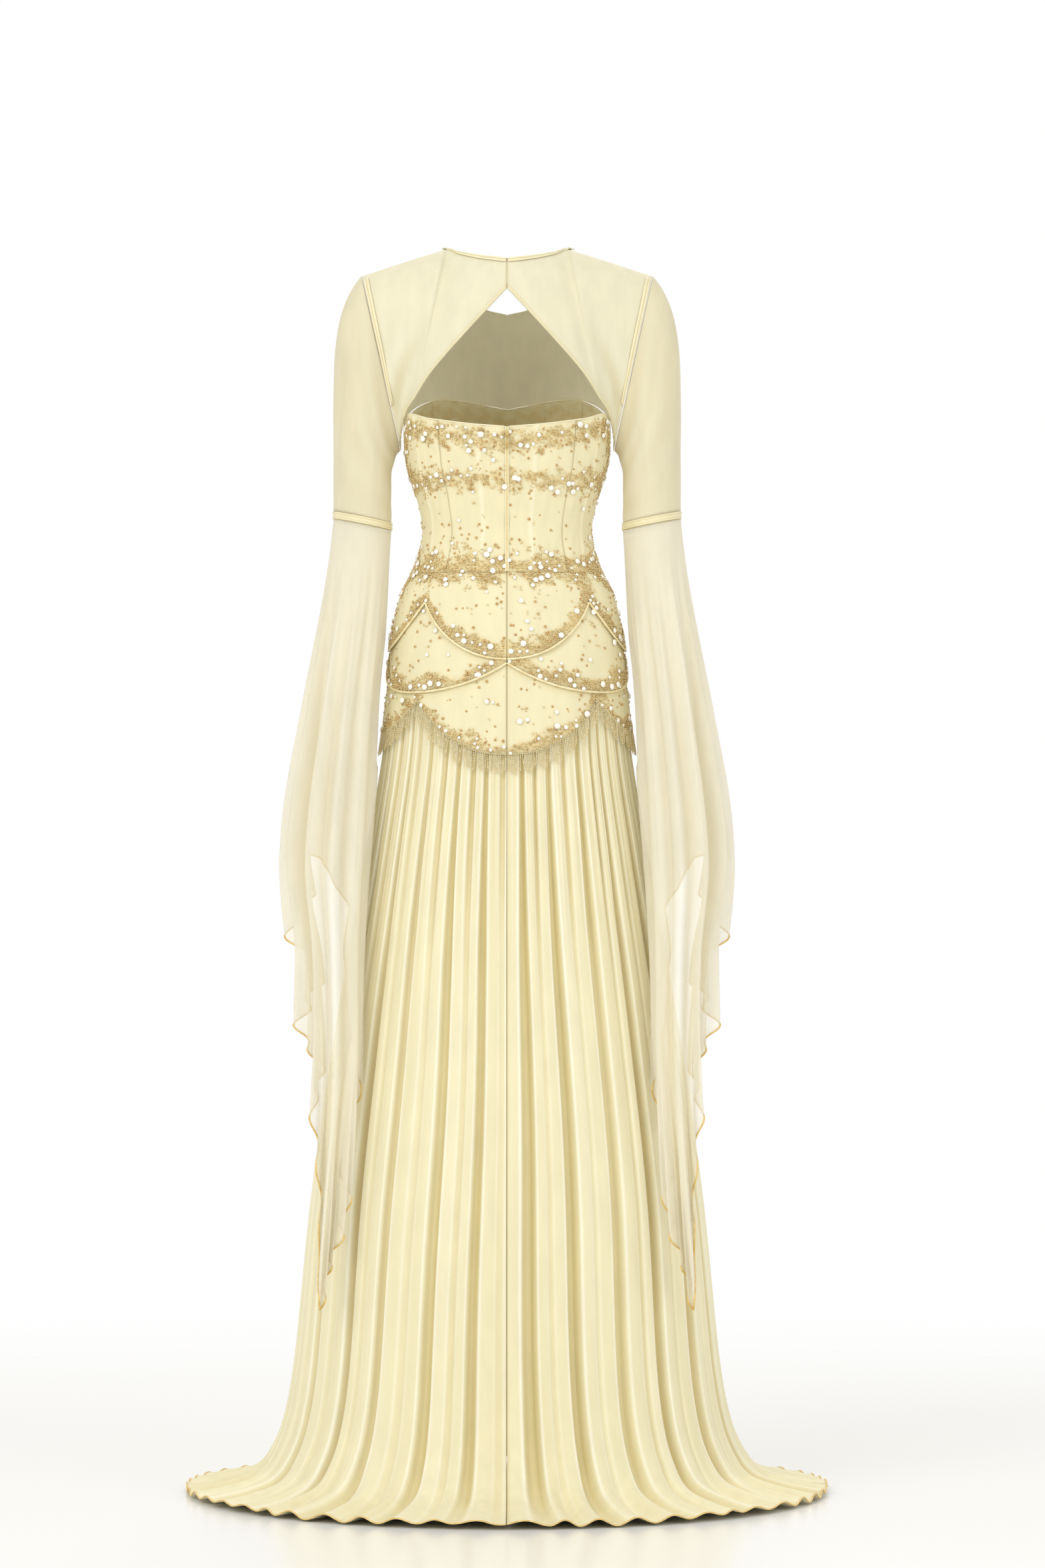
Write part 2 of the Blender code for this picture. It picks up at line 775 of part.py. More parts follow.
def band_place(u, v, side):
    """Wall of the narrow band at the elbow."""
    drop = SEAM_GAP + (BAND_DROP - 2 * SEAM_GAP) * v
    return elbow(2 * math.pi * u, drop, 0.0010 - 0.0020 * side)


def fold_at(u, name):
    """A column of the fold table at u round the sleeve, on a smooth closed curve."""
    at = u * len(FOLDS)
    first = math.floor(at)
    t = at - first
    rows = [FOLDS[(first + k) % len(FOLDS)] for k in (-1, 0, 1, 2)]
    values = [getattr(row, name) for row in rows]
    if name == "degrees":
        turns = [(first + k) // len(FOLDS) for k in (-1, 0, 1, 2)]
        values = [value - 360 * turn for value, turn in zip(values, turns)]
    rise_in = (values[2] - values[0]) / 2
    rise_out = (values[3] - values[1]) / 2
    return (
        values[1] * (2 * t**3 - 3 * t**2 + 1)
        + values[2] * (3 * t**2 - 2 * t**3)
        + rise_in * (t**3 - 2 * t**2 + t)
        + rise_out * (t**3 - t**2)
    )


def skirt_section(height):
    """Half-width, back, front and power of the dress's outside below the elbows."""
    if height > SKIRT[1].height:
        return figure_section(height)
    low = max(i for i in range(len(SKIRT) - 1) if SKIRT[i].height >= height)
    upper, lower = SKIRT[low], SKIRT[low + 1]
    t = (upper.height - height) / (upper.height - lower.height)
    return [a * (1 - t) + b * t for a, b in zip(upper[1:5], lower[1:5])]


def pushed_clear(x, y, height):
    """x and y moved straight out from the dress's middle until they clear its skirt."""
    half_width, back, front, power = skirt_section(height)
    half_width += SLEEVE_CLEARANCE
    depth = (front if y > 0 else back) + SLEEVE_CLEARANCE
    inside = (abs(x) / half_width) ** power + (abs(y) / depth) ** power
    if inside < 1:
        grow = inside ** (-1 / power)
        return x * grow, y * grow
    return x, y


def lower_sleeve(u, v):
    """Outer face of the right lower sleeve: u round the arm, v down to the hem."""
    turn = math.radians(fold_at(u, "degrees"))
    drop = fold_at(u, "drop") * v
    stand = fold_at(u, "stand") * ease(0.0, 0.38, drop)
    reach, depth, half_width, half_depth = [
        column(SLEEVE, "drop", name, drop)
        for name in ("reach", "depth", "half_width", "half_depth")
    ]
    height = ELBOW.height + ELBOW_TILT * math.cos(turn) - BAND_DROP - SEAM_GAP - drop
    x = reach + (half_width + stand) * math.cos(turn)
    y = depth + (half_depth + stand) * math.sin(turn)
    x, y = pushed_clear(x, y, height)
    return world(x, y, height)


def sleeve_middle(u, v):
    """The middle of the lower sleeve level with a point on it."""
    point = lower_sleeve(u, v)
    drop = max(0.0, ELBOW.height - BAND_DROP - point.z - SHOULDER_HEIGHT)
    reach = column(SLEEVE, "drop", "reach", drop)
    return Vector((reach, column(SLEEVE, "drop", "depth", drop), point.z))


def lower_sleeve_place(u, v, side):
    """Wall of the right lower sleeve, thinned towards the skirt's side."""
    point = lower_sleeve(u, v)
    inward = sleeve_middle(u, v) - point
    inward.z = 0.0
    square = outward(lower_sleeve, u, v, sleeve_middle)
    wall = FLUTE_WALL / max(0.55, abs(square.dot(inward.normalized())))
    return point + inward.normalized() * (wall * side)


def make_sleeves(into, sheer_look, beaded_look):
    """Upper sleeves, elbow bands and flared lower sleeves."""
    make_pair("upper_sleeve", 16, 6, upper_sleeve_place, into, sheer_look, True)
    make_pair("elbow_band", 16, 1, band_place, into, beaded_look, True)
    columns = 2 * len(FOLDS)
    make_pair("lower_sleeve", columns, SLEEVE_ROWS, lower_sleeve_place, into, sheer_look, True)


# Zip

def zip_place(u, v, side):
    """Wall of the closed zip, over the centre back seam of the bodice."""
    height = WAIST_SEAM + (bodice_top(0.0) - WAIST_SEAM) * v
    section = figure_section(height)
    angle = (u - 0.5) * ZIP_WIDTH / section[0]
    return on_figure(angle, height, SEAM_GAP + ZIP_WALL * (1 - side))


def cylinder(radius, length, segments=12):
    """A closed bmesh cylinder along X, about its own middle."""
    bm = bmesh.new()
    bmesh.ops.create_cone(
        bm,
        cap_ends=True,
        segments=segments,
        radius1=radius,
        radius2=radius,
        depth=length,
        matrix=Matrix.Rotation(QUARTER, 4, "Y"),
    )
    return bm


def box(size):
    """A closed bmesh box about its own middle."""
    bm = bmesh.new()
    bmesh.ops.create_cube(bm, size=1.0, matrix=Matrix.Diagonal((*size, 1.0)))
    return bm


def combine(target, tool, operation):
    """Adds an exact Boolean to target, and makes its tool a hidden guide."""
    step = target.modifiers.new(tool.name, "BOOLEAN")
    step.operation = operation
    step.solver = "EXACT"
    step.object = tool
    tool.hide_render = True
    tool.display_type = "WIRE"


def bar_centre():
    """Middle of the bar that the pull tab turns on."""
    face = -column(FIGURE, "height", "back", SLIDER_HEIGHT) - 3 * SEAM_GAP - ZIP_WALL
    return world(0.0, face - SLIDER_SIZE.y - BAR_STAND, SLIDER_HEIGHT - SLIDER_ABOVE_BAR)


def make_zip(into, guides, cloth_look, metal_look):
    """The zip, its slider with a bar on two legs, and the pull tab on the bar."""
    finish("zip_tape", cloth_mesh(2, BODICE_ROWS, zip_place), into, cloth_look)
    bar = bar_centre()
    middle = bar + Vector((0, BAR_STAND + SLIDER_SIZE.y / 2, SLIDER_ABOVE_BAR))
    slider = finish("zip_slider", box(SLIDER_SIZE), into, metal_look, middle)
    leg_size = (0.0008, BAR_STAND + 0.0012, 0.0012)
    for name, side in (("slider_leg_left", -1), ("slider_leg_right", 1)):
        centre = bar + Vector((side * BAR_LEG, BAR_STAND / 2, 0))
        leg = finish(name, box(leg_size), guides, metal_look, centre)
        combine(slider, leg, "UNION")
    rod = cylinder(BAR_RADIUS, 2 * BAR_LEG)
    combine(slider, finish("slider_bar", rod, guides, metal_look, bar), "UNION")
    pull = finish("zip_pull", pull_plate(), into, metal_look, bar)
    barrel = cylinder(BARREL_RADIUS, BARREL_LENGTH, 16)
    combine(pull, finish("pull_barrel", barrel, guides, metal_look, bar), "UNION")
    bore = cylinder(BARREL_BORE, BARREL_LENGTH + 0.002, 16)
    combine(pull, finish("pull_bore", bore, guides, metal_look, bar), "DIFFERENCE")


def pull_plate():
    """The drop-shaped plate of the pull tab, hanging from the bar at its origin."""
    bm = bmesh.new()
    bmesh.ops.create_circle(bm, cap_ends=True, radius=1.0, segments=20)
    for vertex in bm.verts:
        down = (1 - vertex.co.y) / 2
        width = PULL_WIDTH / 2 * (0.42 + 0.58 * ease(0.0, 0.75, down))
        vertex.co = (vertex.co.x * width, -PULL_THICK / 2, -PULL_LENGTH * down)
    grown = bmesh.ops.extrude_face_region(bm, geom=bm.faces[:])
    for vertex in grown["geom"]:
        if isinstance(vertex, bmesh.types.BMVert):
            vertex.co.y += PULL_THICK
    return bm


def main():
    """Builds the whole dress."""
    clear_scene()
    dress = collection("pleated_maxi_dress")
    guides = collection("guides")
    chiffon = material("pleated_chiffon", CHIFFON, 0.75)
    sheer = material("sheer_chiffon", SHEER, 0.7)
    satin = material("satin_binding", SATIN, 0.45)
    piping = material("gold_piping", GOLD_CORD, 0.4)
    beads = material("bead_trim", BEADED, 0.4)
    metal = material("zip_metal", METAL, 0.3, 1.0)
    make_bodice(dress, chiffon)
    make_tiers(dress, chiffon, piping)
    make_fringe(dress, beads)
    make_skirt(dress, chiffon)
    make_yoke(dress, sheer, satin)
    make_sleeves(dress, sheer, beads)
    make_zip(dress, guides, satin, metal)


main()
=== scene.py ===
"""Looks of the pleated evening dress: cloth, piping, beads, fringe, zip, light and camera.

Metres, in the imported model's frame. Heights in the tables are above the floor that the
hem lies on, and angles run from the centre back towards +X, the wearer's right.
"""

import logging
import math
from dataclasses import dataclass, field
from enum import Enum
from typing import Callable, Iterable

import bmesh
import bpy
import numpy as np
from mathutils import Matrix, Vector


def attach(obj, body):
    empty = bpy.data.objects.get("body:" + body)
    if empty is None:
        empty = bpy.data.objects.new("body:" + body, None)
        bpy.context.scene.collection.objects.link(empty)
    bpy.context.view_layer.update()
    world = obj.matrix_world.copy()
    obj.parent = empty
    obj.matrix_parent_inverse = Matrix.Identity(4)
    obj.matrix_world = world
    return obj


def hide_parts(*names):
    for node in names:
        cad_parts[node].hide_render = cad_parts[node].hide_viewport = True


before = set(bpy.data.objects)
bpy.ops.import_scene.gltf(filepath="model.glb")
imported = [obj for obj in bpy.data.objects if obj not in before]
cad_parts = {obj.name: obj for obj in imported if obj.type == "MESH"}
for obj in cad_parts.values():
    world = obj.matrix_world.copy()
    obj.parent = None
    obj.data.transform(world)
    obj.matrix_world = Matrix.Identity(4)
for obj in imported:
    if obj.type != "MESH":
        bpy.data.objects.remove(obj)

LOG = logging.getLogger("dress")
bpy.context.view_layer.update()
Array = np.ndarray
Surface = Callable[[Array, Array], Array]

BODY = "garment"
SHOULDER_HEIGHT = 1.560
SEAM_GAP = 0.0003
QUARTER = math.pi / 2
TURN = 2 * math.pi
UP = np.array([0.0, 0.0, 1.0])


class Side(Enum):
    """Which side of the wearer a paired piece is on."""

    RIGHT = ("right", 1.0)
    LEFT = ("left", -1.0)

    @property
    def word(self) -> str:
        """The side's word in a piece's name."""
        return self.value[0]

    @property
    def sign(self) -> float:
        """The sign of x on this side."""
        return self.value[1]


class Held(Enum):
    """How a sheet of cloth is held."""

    STRETCHED = "stretched"
    GATHERED = "gathered"
    HUNG = "hung"
    DRAPED = "draped"


# Curves through tables

def through(keys: Iterable[float], values: Iterable, at: Array) -> Array:
    """A smooth curve through values placed at rising keys.

    Args:
        keys: Where the values stand.
        values: One number or one point for each key.
        at: Where the curve is read.

    Returns:
        A number or a point for each entry of at.
    """
    keys, values = np.asarray(keys, float), np.asarray(values, float)
    at = np.clip(np.asarray(at, float), keys[0], keys[-1])
    row = np.clip(np.searchsorted(keys, at, "right") - 1, 0, len(keys) - 2)
    low = np.maximum(np.arange(len(keys)) - 1, 0)
    high = np.minimum(np.arange(len(keys)) + 1, len(keys) - 1)
    shape = (-1,) + (1,) * (values.ndim - 1)
    slope = (values[high] - values[low]) / (keys[high] - keys[low]).reshape(shape)
    span = (keys[row + 1] - keys[row]).reshape(at.shape + (1,) * (values.ndim - 1))
    t = ((at - keys[row])).reshape(span.shape) / span
    return (
        values[row] * (2 * t**3 - 3 * t**2 + 1)
        + values[row + 1] * (3 * t**2 - 2 * t**3)
        + slope[row] * span * (t**3 - 2 * t**2 + t)
        + slope[row + 1] * span * (t**3 - t**2)
    )


def along(points: Iterable, share: Array) -> Array:
    """Points on a smooth curve through points that stand at even shares."""
    points = np.asarray(points, float)
    return through(np.linspace(0, 1, len(points)), points, share)


def ease(low: float, high: float, at: Array) -> Array:
    """0 below low, 1 above high, and a smooth step between."""
    t = np.clip((np.asarray(at, float) - low) / (high - low), 0.0, 1.0)
    return t * t * (3 - 2 * t)


def bump(at: Array, centre: float, half: float) -> Array:
    """1 at centre, falling smoothly to 0 at half either side."""
    return 1 - ease(0.0, half, np.abs(np.asarray(at, float) - centre))


def cloudy(a: Array, b: Array, size: float, seed: int, count: int = 9) -> Array:
    """Cloudy noise from plane waves.

    Args:
        a: First coordinate, in metres.
        b: Second coordinate, in metres.
        size: Length of the waves, in metres.
        seed: Which cloud.
        count: How many waves are added.

    Returns:
        Values of about -1 to 1.
    """
    random = np.random.default_rng(seed)
    total = np.zeros(np.broadcast(a, b).shape)
    for _ in range(count):
        turn, phase = random.uniform(0, TURN, 2)
        pitch = size * random.uniform(0.7, 1.6)
        total += np.sin((a * math.cos(turn) + b * math.sin(turn)) * TURN / pitch + phase)
    return total / math.sqrt(count)


def place(x: Array, y: Array, height: Array) -> Array:
    """Points in the model's frame from heights above the floor."""
    x, y, height = np.broadcast_arrays(x, y, height)
    return np.stack([x, y, height - SHOULDER_HEIGHT], axis=-1)


def unit(vectors: Array) -> Array:
    """The vectors at length 1."""
    return vectors / np.maximum(np.linalg.norm(vectors, axis=-1, keepdims=True), 1e-12)


def normals_of(surface: Surface, u: Array, v: Array, step: float = 0.002) -> Array:
    """Directions square to a surface, in the sense of across times up."""
    across = surface(u + step, v) - surface(u - step, v)
    up = surface(u, np.minimum(v + step, 1.0)) - surface(u, np.maximum(v - step, 0.0))
    return unit(np.cross(across, up))


def mirrored(surface: Surface, side: Side) -> Surface:
    """The surface on a side of the dress."""
    return lambda u, v: surface(u, v) * np.array([side.sign, 1.0, 1.0])


# The dress's pattern, as its solids have it

@dataclass(frozen=True)
class Pattern:
    """The general figure and the lines that the pieces are cut to."""

    figure: tuple = (
        (0.900, 0.1740, 0.1330, 0.1110, 2.0),
        (0.947, 0.1680, 0.1280, 0.1050, 2.1),
        (1.010, 0.1620, 0.1240, 0.0990, 2.15),
        (1.062, 0.1555, 0.1190, 0.0950, 2.2),
        (1.148, 0.1400, 0.1010, 0.0890, 2.3),
        (1.191, 0.1190, 0.0860, 0.0850, 2.35),
        (1.234, 0.1090, 0.0800, 0.0860, 2.4),
        (1.277, 0.1160, 0.0840, 0.0970, 2.45),
        (1.318, 0.1280, 0.0900, 0.1120, 2.5),
        (1.355, 0.1330, 0.0940, 0.1150, 2.5),
        (1.420, 0.1400, 0.0980, 0.1080, 2.5),
    )
    bodice_top_degrees: tuple = (0, 20, 42, 64, 77, 90, 104, 120, 145, 180)
    bodice_top_heights: tuple = (
        1.367, 1.371, 1.378, 1.385, 1.363, 1.343, 1.366, 1.392, 1.412, 1.400,
    )
    back_seam: float = math.radians(38)
    front_seam: float = math.radians(138)
    waist: float = 1.182

    def section(self, height: Array) -> Array:
        """Half-width, back, front and power of the figure at heights."""
        rows = np.array(self.figure)
        return through(rows[:, 0], rows[:, 1:], height)

    def on_figure(self, angle: Array, height: Array, offset: Array = 0.0) -> Array:
        """Points on the figure's surface, moved out by offset."""
        angle, height, offset = np.broadcast_arrays(angle, height, offset)
        return on_oval(self.section(height), angle, height, offset)

    def figure_normal(self, angle: Array, height: Array) -> Array:
        """Directions out of the figure's surface."""
        step = 0.004
        across = self.on_figure(angle + step, height) - self.on_figure(angle - step, height)
        up = self.on_figure(angle, height + step) - self.on_figure(angle, height - step)
        return unit(np.cross(across, up))

    def bodice_top(self, angle: Array) -> Array:
        """Height of the bodice's top edge."""
        from_back = np.degrees(math.pi - np.abs((np.asarray(angle) % TURN) - math.pi))
        return through(self.bodice_top_degrees, self.bodice_top_heights, from_back)


def on_oval(values: Array, angle: Array, height: Array, offset: Array = 0.0) -> Array:
    """Points on closed sections.

    Args:
        values: Half-width, back, front and power, for each point.
        angle: Angle from the centre back towards +X.
        height: Height above the floor.
        offset: How far outside the section the point lies.

    Returns:
        The points.
    """
    half_width, back, front, power = np.moveaxis(values, -1, 0)
    sine, cosine = np.sin(angle), np.cos(angle)
    grown = (np.abs(sine) ** power + np.abs(cosine) ** power) ** (-1 / power)
    depth = np.where(cosine > 0, back, front) + offset
    return place((half_width + offset) * grown * sine, -depth * grown * cosine, height)


@dataclass(frozen=True)
class Tier:
    """One hip tier: its top, its scallops and the rise of its edge at the sides."""

    name: str
    top: float
    cusp: float
    low: float
    lift: float
    phase: float
    inset: float

    power: float = 2.2

    def edge(self, angle: Array) -> Array:
        """Height of the lower edge, lowest mid-scallop."""
        quarters = np.asarray(angle) / QUARTER + self.phase
        from_low = np.abs(2 * (quarters - np.round(quarters)))
        hang = self.low + (self.cusp - self.low) * from_low**self.power
        return hang + self.lift * np.sin(angle) ** 4


PATTERN = Pattern()
TIERS = (
    Tier("tier1", PATTERN.waist - SEAM_GAP, 1.142, 1.072, 0.012, 0.0, 0.0),
    Tier("tier2", 1.160, 1.067, 1.031, -0.004, 0.5, -0.0020),
    Tier("tier3", 1.090, 1.012, 0.948, 0.026, 0.0, -0.0040),
)
PANELS = (
    ("back_right", 0.0, QUARTER),
    ("back_left", -QUARTER, 0.0),
    ("front", QUARTER, 3 * QUARTER),
)


def panel_angle(start: float, end: float, u: Array) -> Array:
    """The angle across one panel, with half a seam's gap at each end."""
    gap = SEAM_GAP / 2 / 0.12
    return start + gap + (end - start - 2 * gap) * u


@dataclass(frozen=True)
class Embroidery:
    """Where the beading lies, for its golden ground and for its beads."""

    top_band: tuple[float, float] = (0.019, 0.031)
    middle_band: tuple[float, float] = (1.3000, 0.028)
    waist_band: tuple[float, float] = (1.187, 0.036)
    edge_band: float = 0.021
    ragged: float = 0.013

    def strength(self, angle: Array, height: Array) -> Array:
        """How densely the dress is embroidered.

        Args:
            angle: Angle from the centre back.
            height: Height above the floor.

        Returns:
            0 where it is bare to 1 where it is covered.
        """
        arc = angle * 0.13
        cloud = cloudy(arc, height, self.ragged, 11)
        coarse = cloudy(arc, height, 3.2 * self.ragged, 12)
        top = bump(PATTERN.bodice_top(angle) - height, *self.top_band)
        middle = bump(height + 0.004 * coarse, *self.middle_band)
        waist = bump(height + 0.006 * coarse, *self.waist_band)
        bodice = np.maximum(np.maximum(0.85 * top, 0.9 * middle), 1.15 * waist)
        below = self.along_edges(angle, height, coarse)
        return np.clip(np.maximum(bodice, below) * 1.35 + 0.36 * cloud - 0.26, 0.0, 1.0)

    def along_edges(self, angle: Array, height: Array, coarse: Array) -> Array:
        """The band above each tier's edge, on the tier that shows there."""
        first, second, third = (height - tier.edge(angle) for tier in TIERS)
        wide = self.edge_band * (1 + 0.35 * coarse)
        bands = [1.25 * (1 - ease(0.35, 1.25, depth / wide)) for depth in (first, second, third)]
        on_first = first > 0
        on_second = (second > 0) & ~on_first
        on_third = (third > 0) & ~on_first & ~on_second
        return (
            np.where(on_first, bands[0], 0.0)
            + np.where(on_second, bands[1], 0.0)
            + np.where(on_third, 0.72 * bands[2], 0.0)
        )

    def surface_offset(self, angle: Array, height: Array) -> Array:
        """How far outside the figure the cloth that shows lies."""
        first, second, _ = (height - tier.edge(angle) for tier in TIERS)
        return np.where(first > 0, 0.0, np.where(second > 0, TIERS[1].inset, TIERS[2].inset))

    def ground(self, angle: Array, height: Array) -> Array:
        """How golden the cloth is under the beads, 0 at the loose edges of the bands."""
        return np.clip(1.5 * self.strength(angle, height) - 0.40, 0.0, 1.0)


BEADING = Embroidery()


# Meshes

def link(name: str, mesh: bpy.types.Mesh, look: bpy.types.Material) -> bpy.types.Object:
    """An object in the scene for a finished mesh, with one material."""
    mesh.materials.clear()
    mesh.materials.append(look)
    made = bpy.data.objects.new(name, mesh)
    bpy.context.scene.collection.objects.link(made)
    return made


def grid_mesh(name: str, columns: int, rows: int) -> tuple[bpy.types.Mesh, Array, Array]:
    """A flat grid with a UV map, and the u and v of its points."""
    bm = bmesh.new()
    bm.loops.layers.uv.new("UVMap")
    bmesh.ops.create_grid(bm, x_segments=columns, y_segments=rows, size=1.0, calc_uvs=True)
    mesh = bpy.data.meshes.new(name)
    bm.to_mesh(mesh)
    bm.free()
    flat = points_of(mesh)
    return mesh, (flat[:, 0] + 1) / 2, (flat[:, 1] + 1) / 2


def points_of(mesh: bpy.types.Mesh) -> Array:
    """The mesh's points, as an array."""
    flat = np.empty(len(mesh.vertices) * 3)
    mesh.vertices.foreach_get("co", flat)
    return flat.reshape(-1, 3)


def set_mark(mesh: bpy.types.Mesh, name: str, values: Array) -> None:
    """Stores a number for each point, for the materials to read."""
    layer = mesh.attributes.new(name, "FLOAT", "POINT")
    layer.data.foreach_set("value", np.asarray(values, np.float32))


@dataclass
class Sheet:
    """One sheet of cloth: a grid laid on a surface, with a thickness."""

    name: str
    columns: int
    rows: int
    surface: Surface
    look: bpy.types.Material
    slot: str
    stands_for: tuple[str, ...]
    held: Held
    middle: Callable[[Array], Array]
    joined: bool = False
    thickness: float = 0.0006
    marks: dict[str, Surface] = field(default_factory=dict)
    rests_on: tuple[str, ...] = ()
    widest: float = 100.0

    def build(self) -> bpy.types.Object:
        """Returns:
            The finished object.
        """
        mesh, u, v = grid_mesh(self.name, self.columns, self.rows)
        points = self.surface(u, v)
        mesh.vertices.foreach_set("co", points.ravel())
        for name, mark in self.marks.items():
            set_mark(mesh, name, mark(u, v))
        mesh.update()
        self.close_and_turn(mesh)
        made = link(self.name, mesh, self.look)
        mesh.shade_smooth()
        wall = made.modifiers.new("thickness", "SOLIDIFY")
        wall.thickness = self.thickness
        wall.offset = -1.0
        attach(made, BODY)
        if self.stands_for:
            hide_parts(*self.stands_for)
        return made

    def close_and_turn(self, mesh: bpy.types.Mesh) -> None:
        """Joins a tube's seam and turns the faces away from the sheet's middle."""
        faces = len(mesh.polygons)
        normals, centres = np.empty(faces * 3), np.empty(faces * 3)
        mesh.polygons.foreach_get("normal", normals)
        mesh.polygons.foreach_get("center", centres)
        normals, centres = normals.reshape(-1, 3), centres.reshape(-1, 3)
        inward = np.sum(normals * (centres - self.middle(centres))) < 0
        if not (inward or self.joined):
            return
        bm = bmesh.new()
        bm.from_mesh(mesh)
        if self.joined:
            bmesh.ops.remove_doubles(bm, verts=bm.verts[:], dist=1e-6)
        if inward:
            bmesh.ops.reverse_faces(bm, faces=bm.faces[:])
        bm.to_mesh(mesh)
        bm.free()


def upright_axis(points: Array) -> Array:
    """The dress's own upright axis, level with the points."""
    return points * np.array([0.0, 0.0, 1.0])


def tube(name: str, points: Array, radius: float, look: bpy.types.Material,
         sides: int = 2, cyclic: bool = False) -> bpy.types.Object:
    """A round cord along points, as a mesh with the length along it marked.

    Args:
        name: The object's name.
        points: The cord's centreline.
        radius: Its radius.
        look: Its material.
        sides: The curve's bevel resolution.
        cyclic: Whether the ends meet.

    Returns:
        The cord's object.
    """
    curve = bpy.data.curves.new(name, "CURVE")
    curve.dimensions = "3D"
    curve.bevel_depth = radius
    curve.bevel_resolution = sides
    curve.use_fill_caps = not cyclic
    spline = curve.splines.new("POLY")
    spline.points.add(len(points) - 1)
    spline.points.foreach_set("co", np.hstack([points, np.ones((len(points), 1))]).ravel())
    spline.use_cyclic_u = cyclic
    holder = bpy.data.objects.new(name, curve)
    mesh = bpy.data.meshes.new_from_object(holder)
    bpy.data.objects.remove(holder)
    bpy.data.curves.remove(curve)
    round_count = 4 + 2 * sides
    steps = np.linalg.norm(np.diff(points, axis=0), axis=1)
    length = np.concatenate([[0.0], np.cumsum(steps)])
    ring = np.minimum(np.arange(len(mesh.vertices)) // round_count, len(points) - 1)
    set_mark(mesh, "length", length[ring])
    mesh.shade_smooth()
    return link(name, mesh, look)


def dress_piece(made: bpy.types.Object, slot: str, *nodes: str) -> bpy.types.Object:
    """Lets a piece ride on the dress and hides the solids that it stands for."""
    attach(made, BODY)
    if nodes:
        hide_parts(*nodes)
    LOG.info("%s: %d faces", made.name, len(made.data.polygons))
    return made


# Finishes

Colour = tuple[float, float, float]


def linear(red: int, green: int, blue: int) -> Colour:
    """A colour in the renderer's linear scale from its eight-bit values."""
    def one(value: int) -> float:
        share = value / 255
        return share / 12.92 if share <= 0.04045 else ((share + 0.055) / 1.055) ** 2.4
    return one(red), one(green), one(blue)


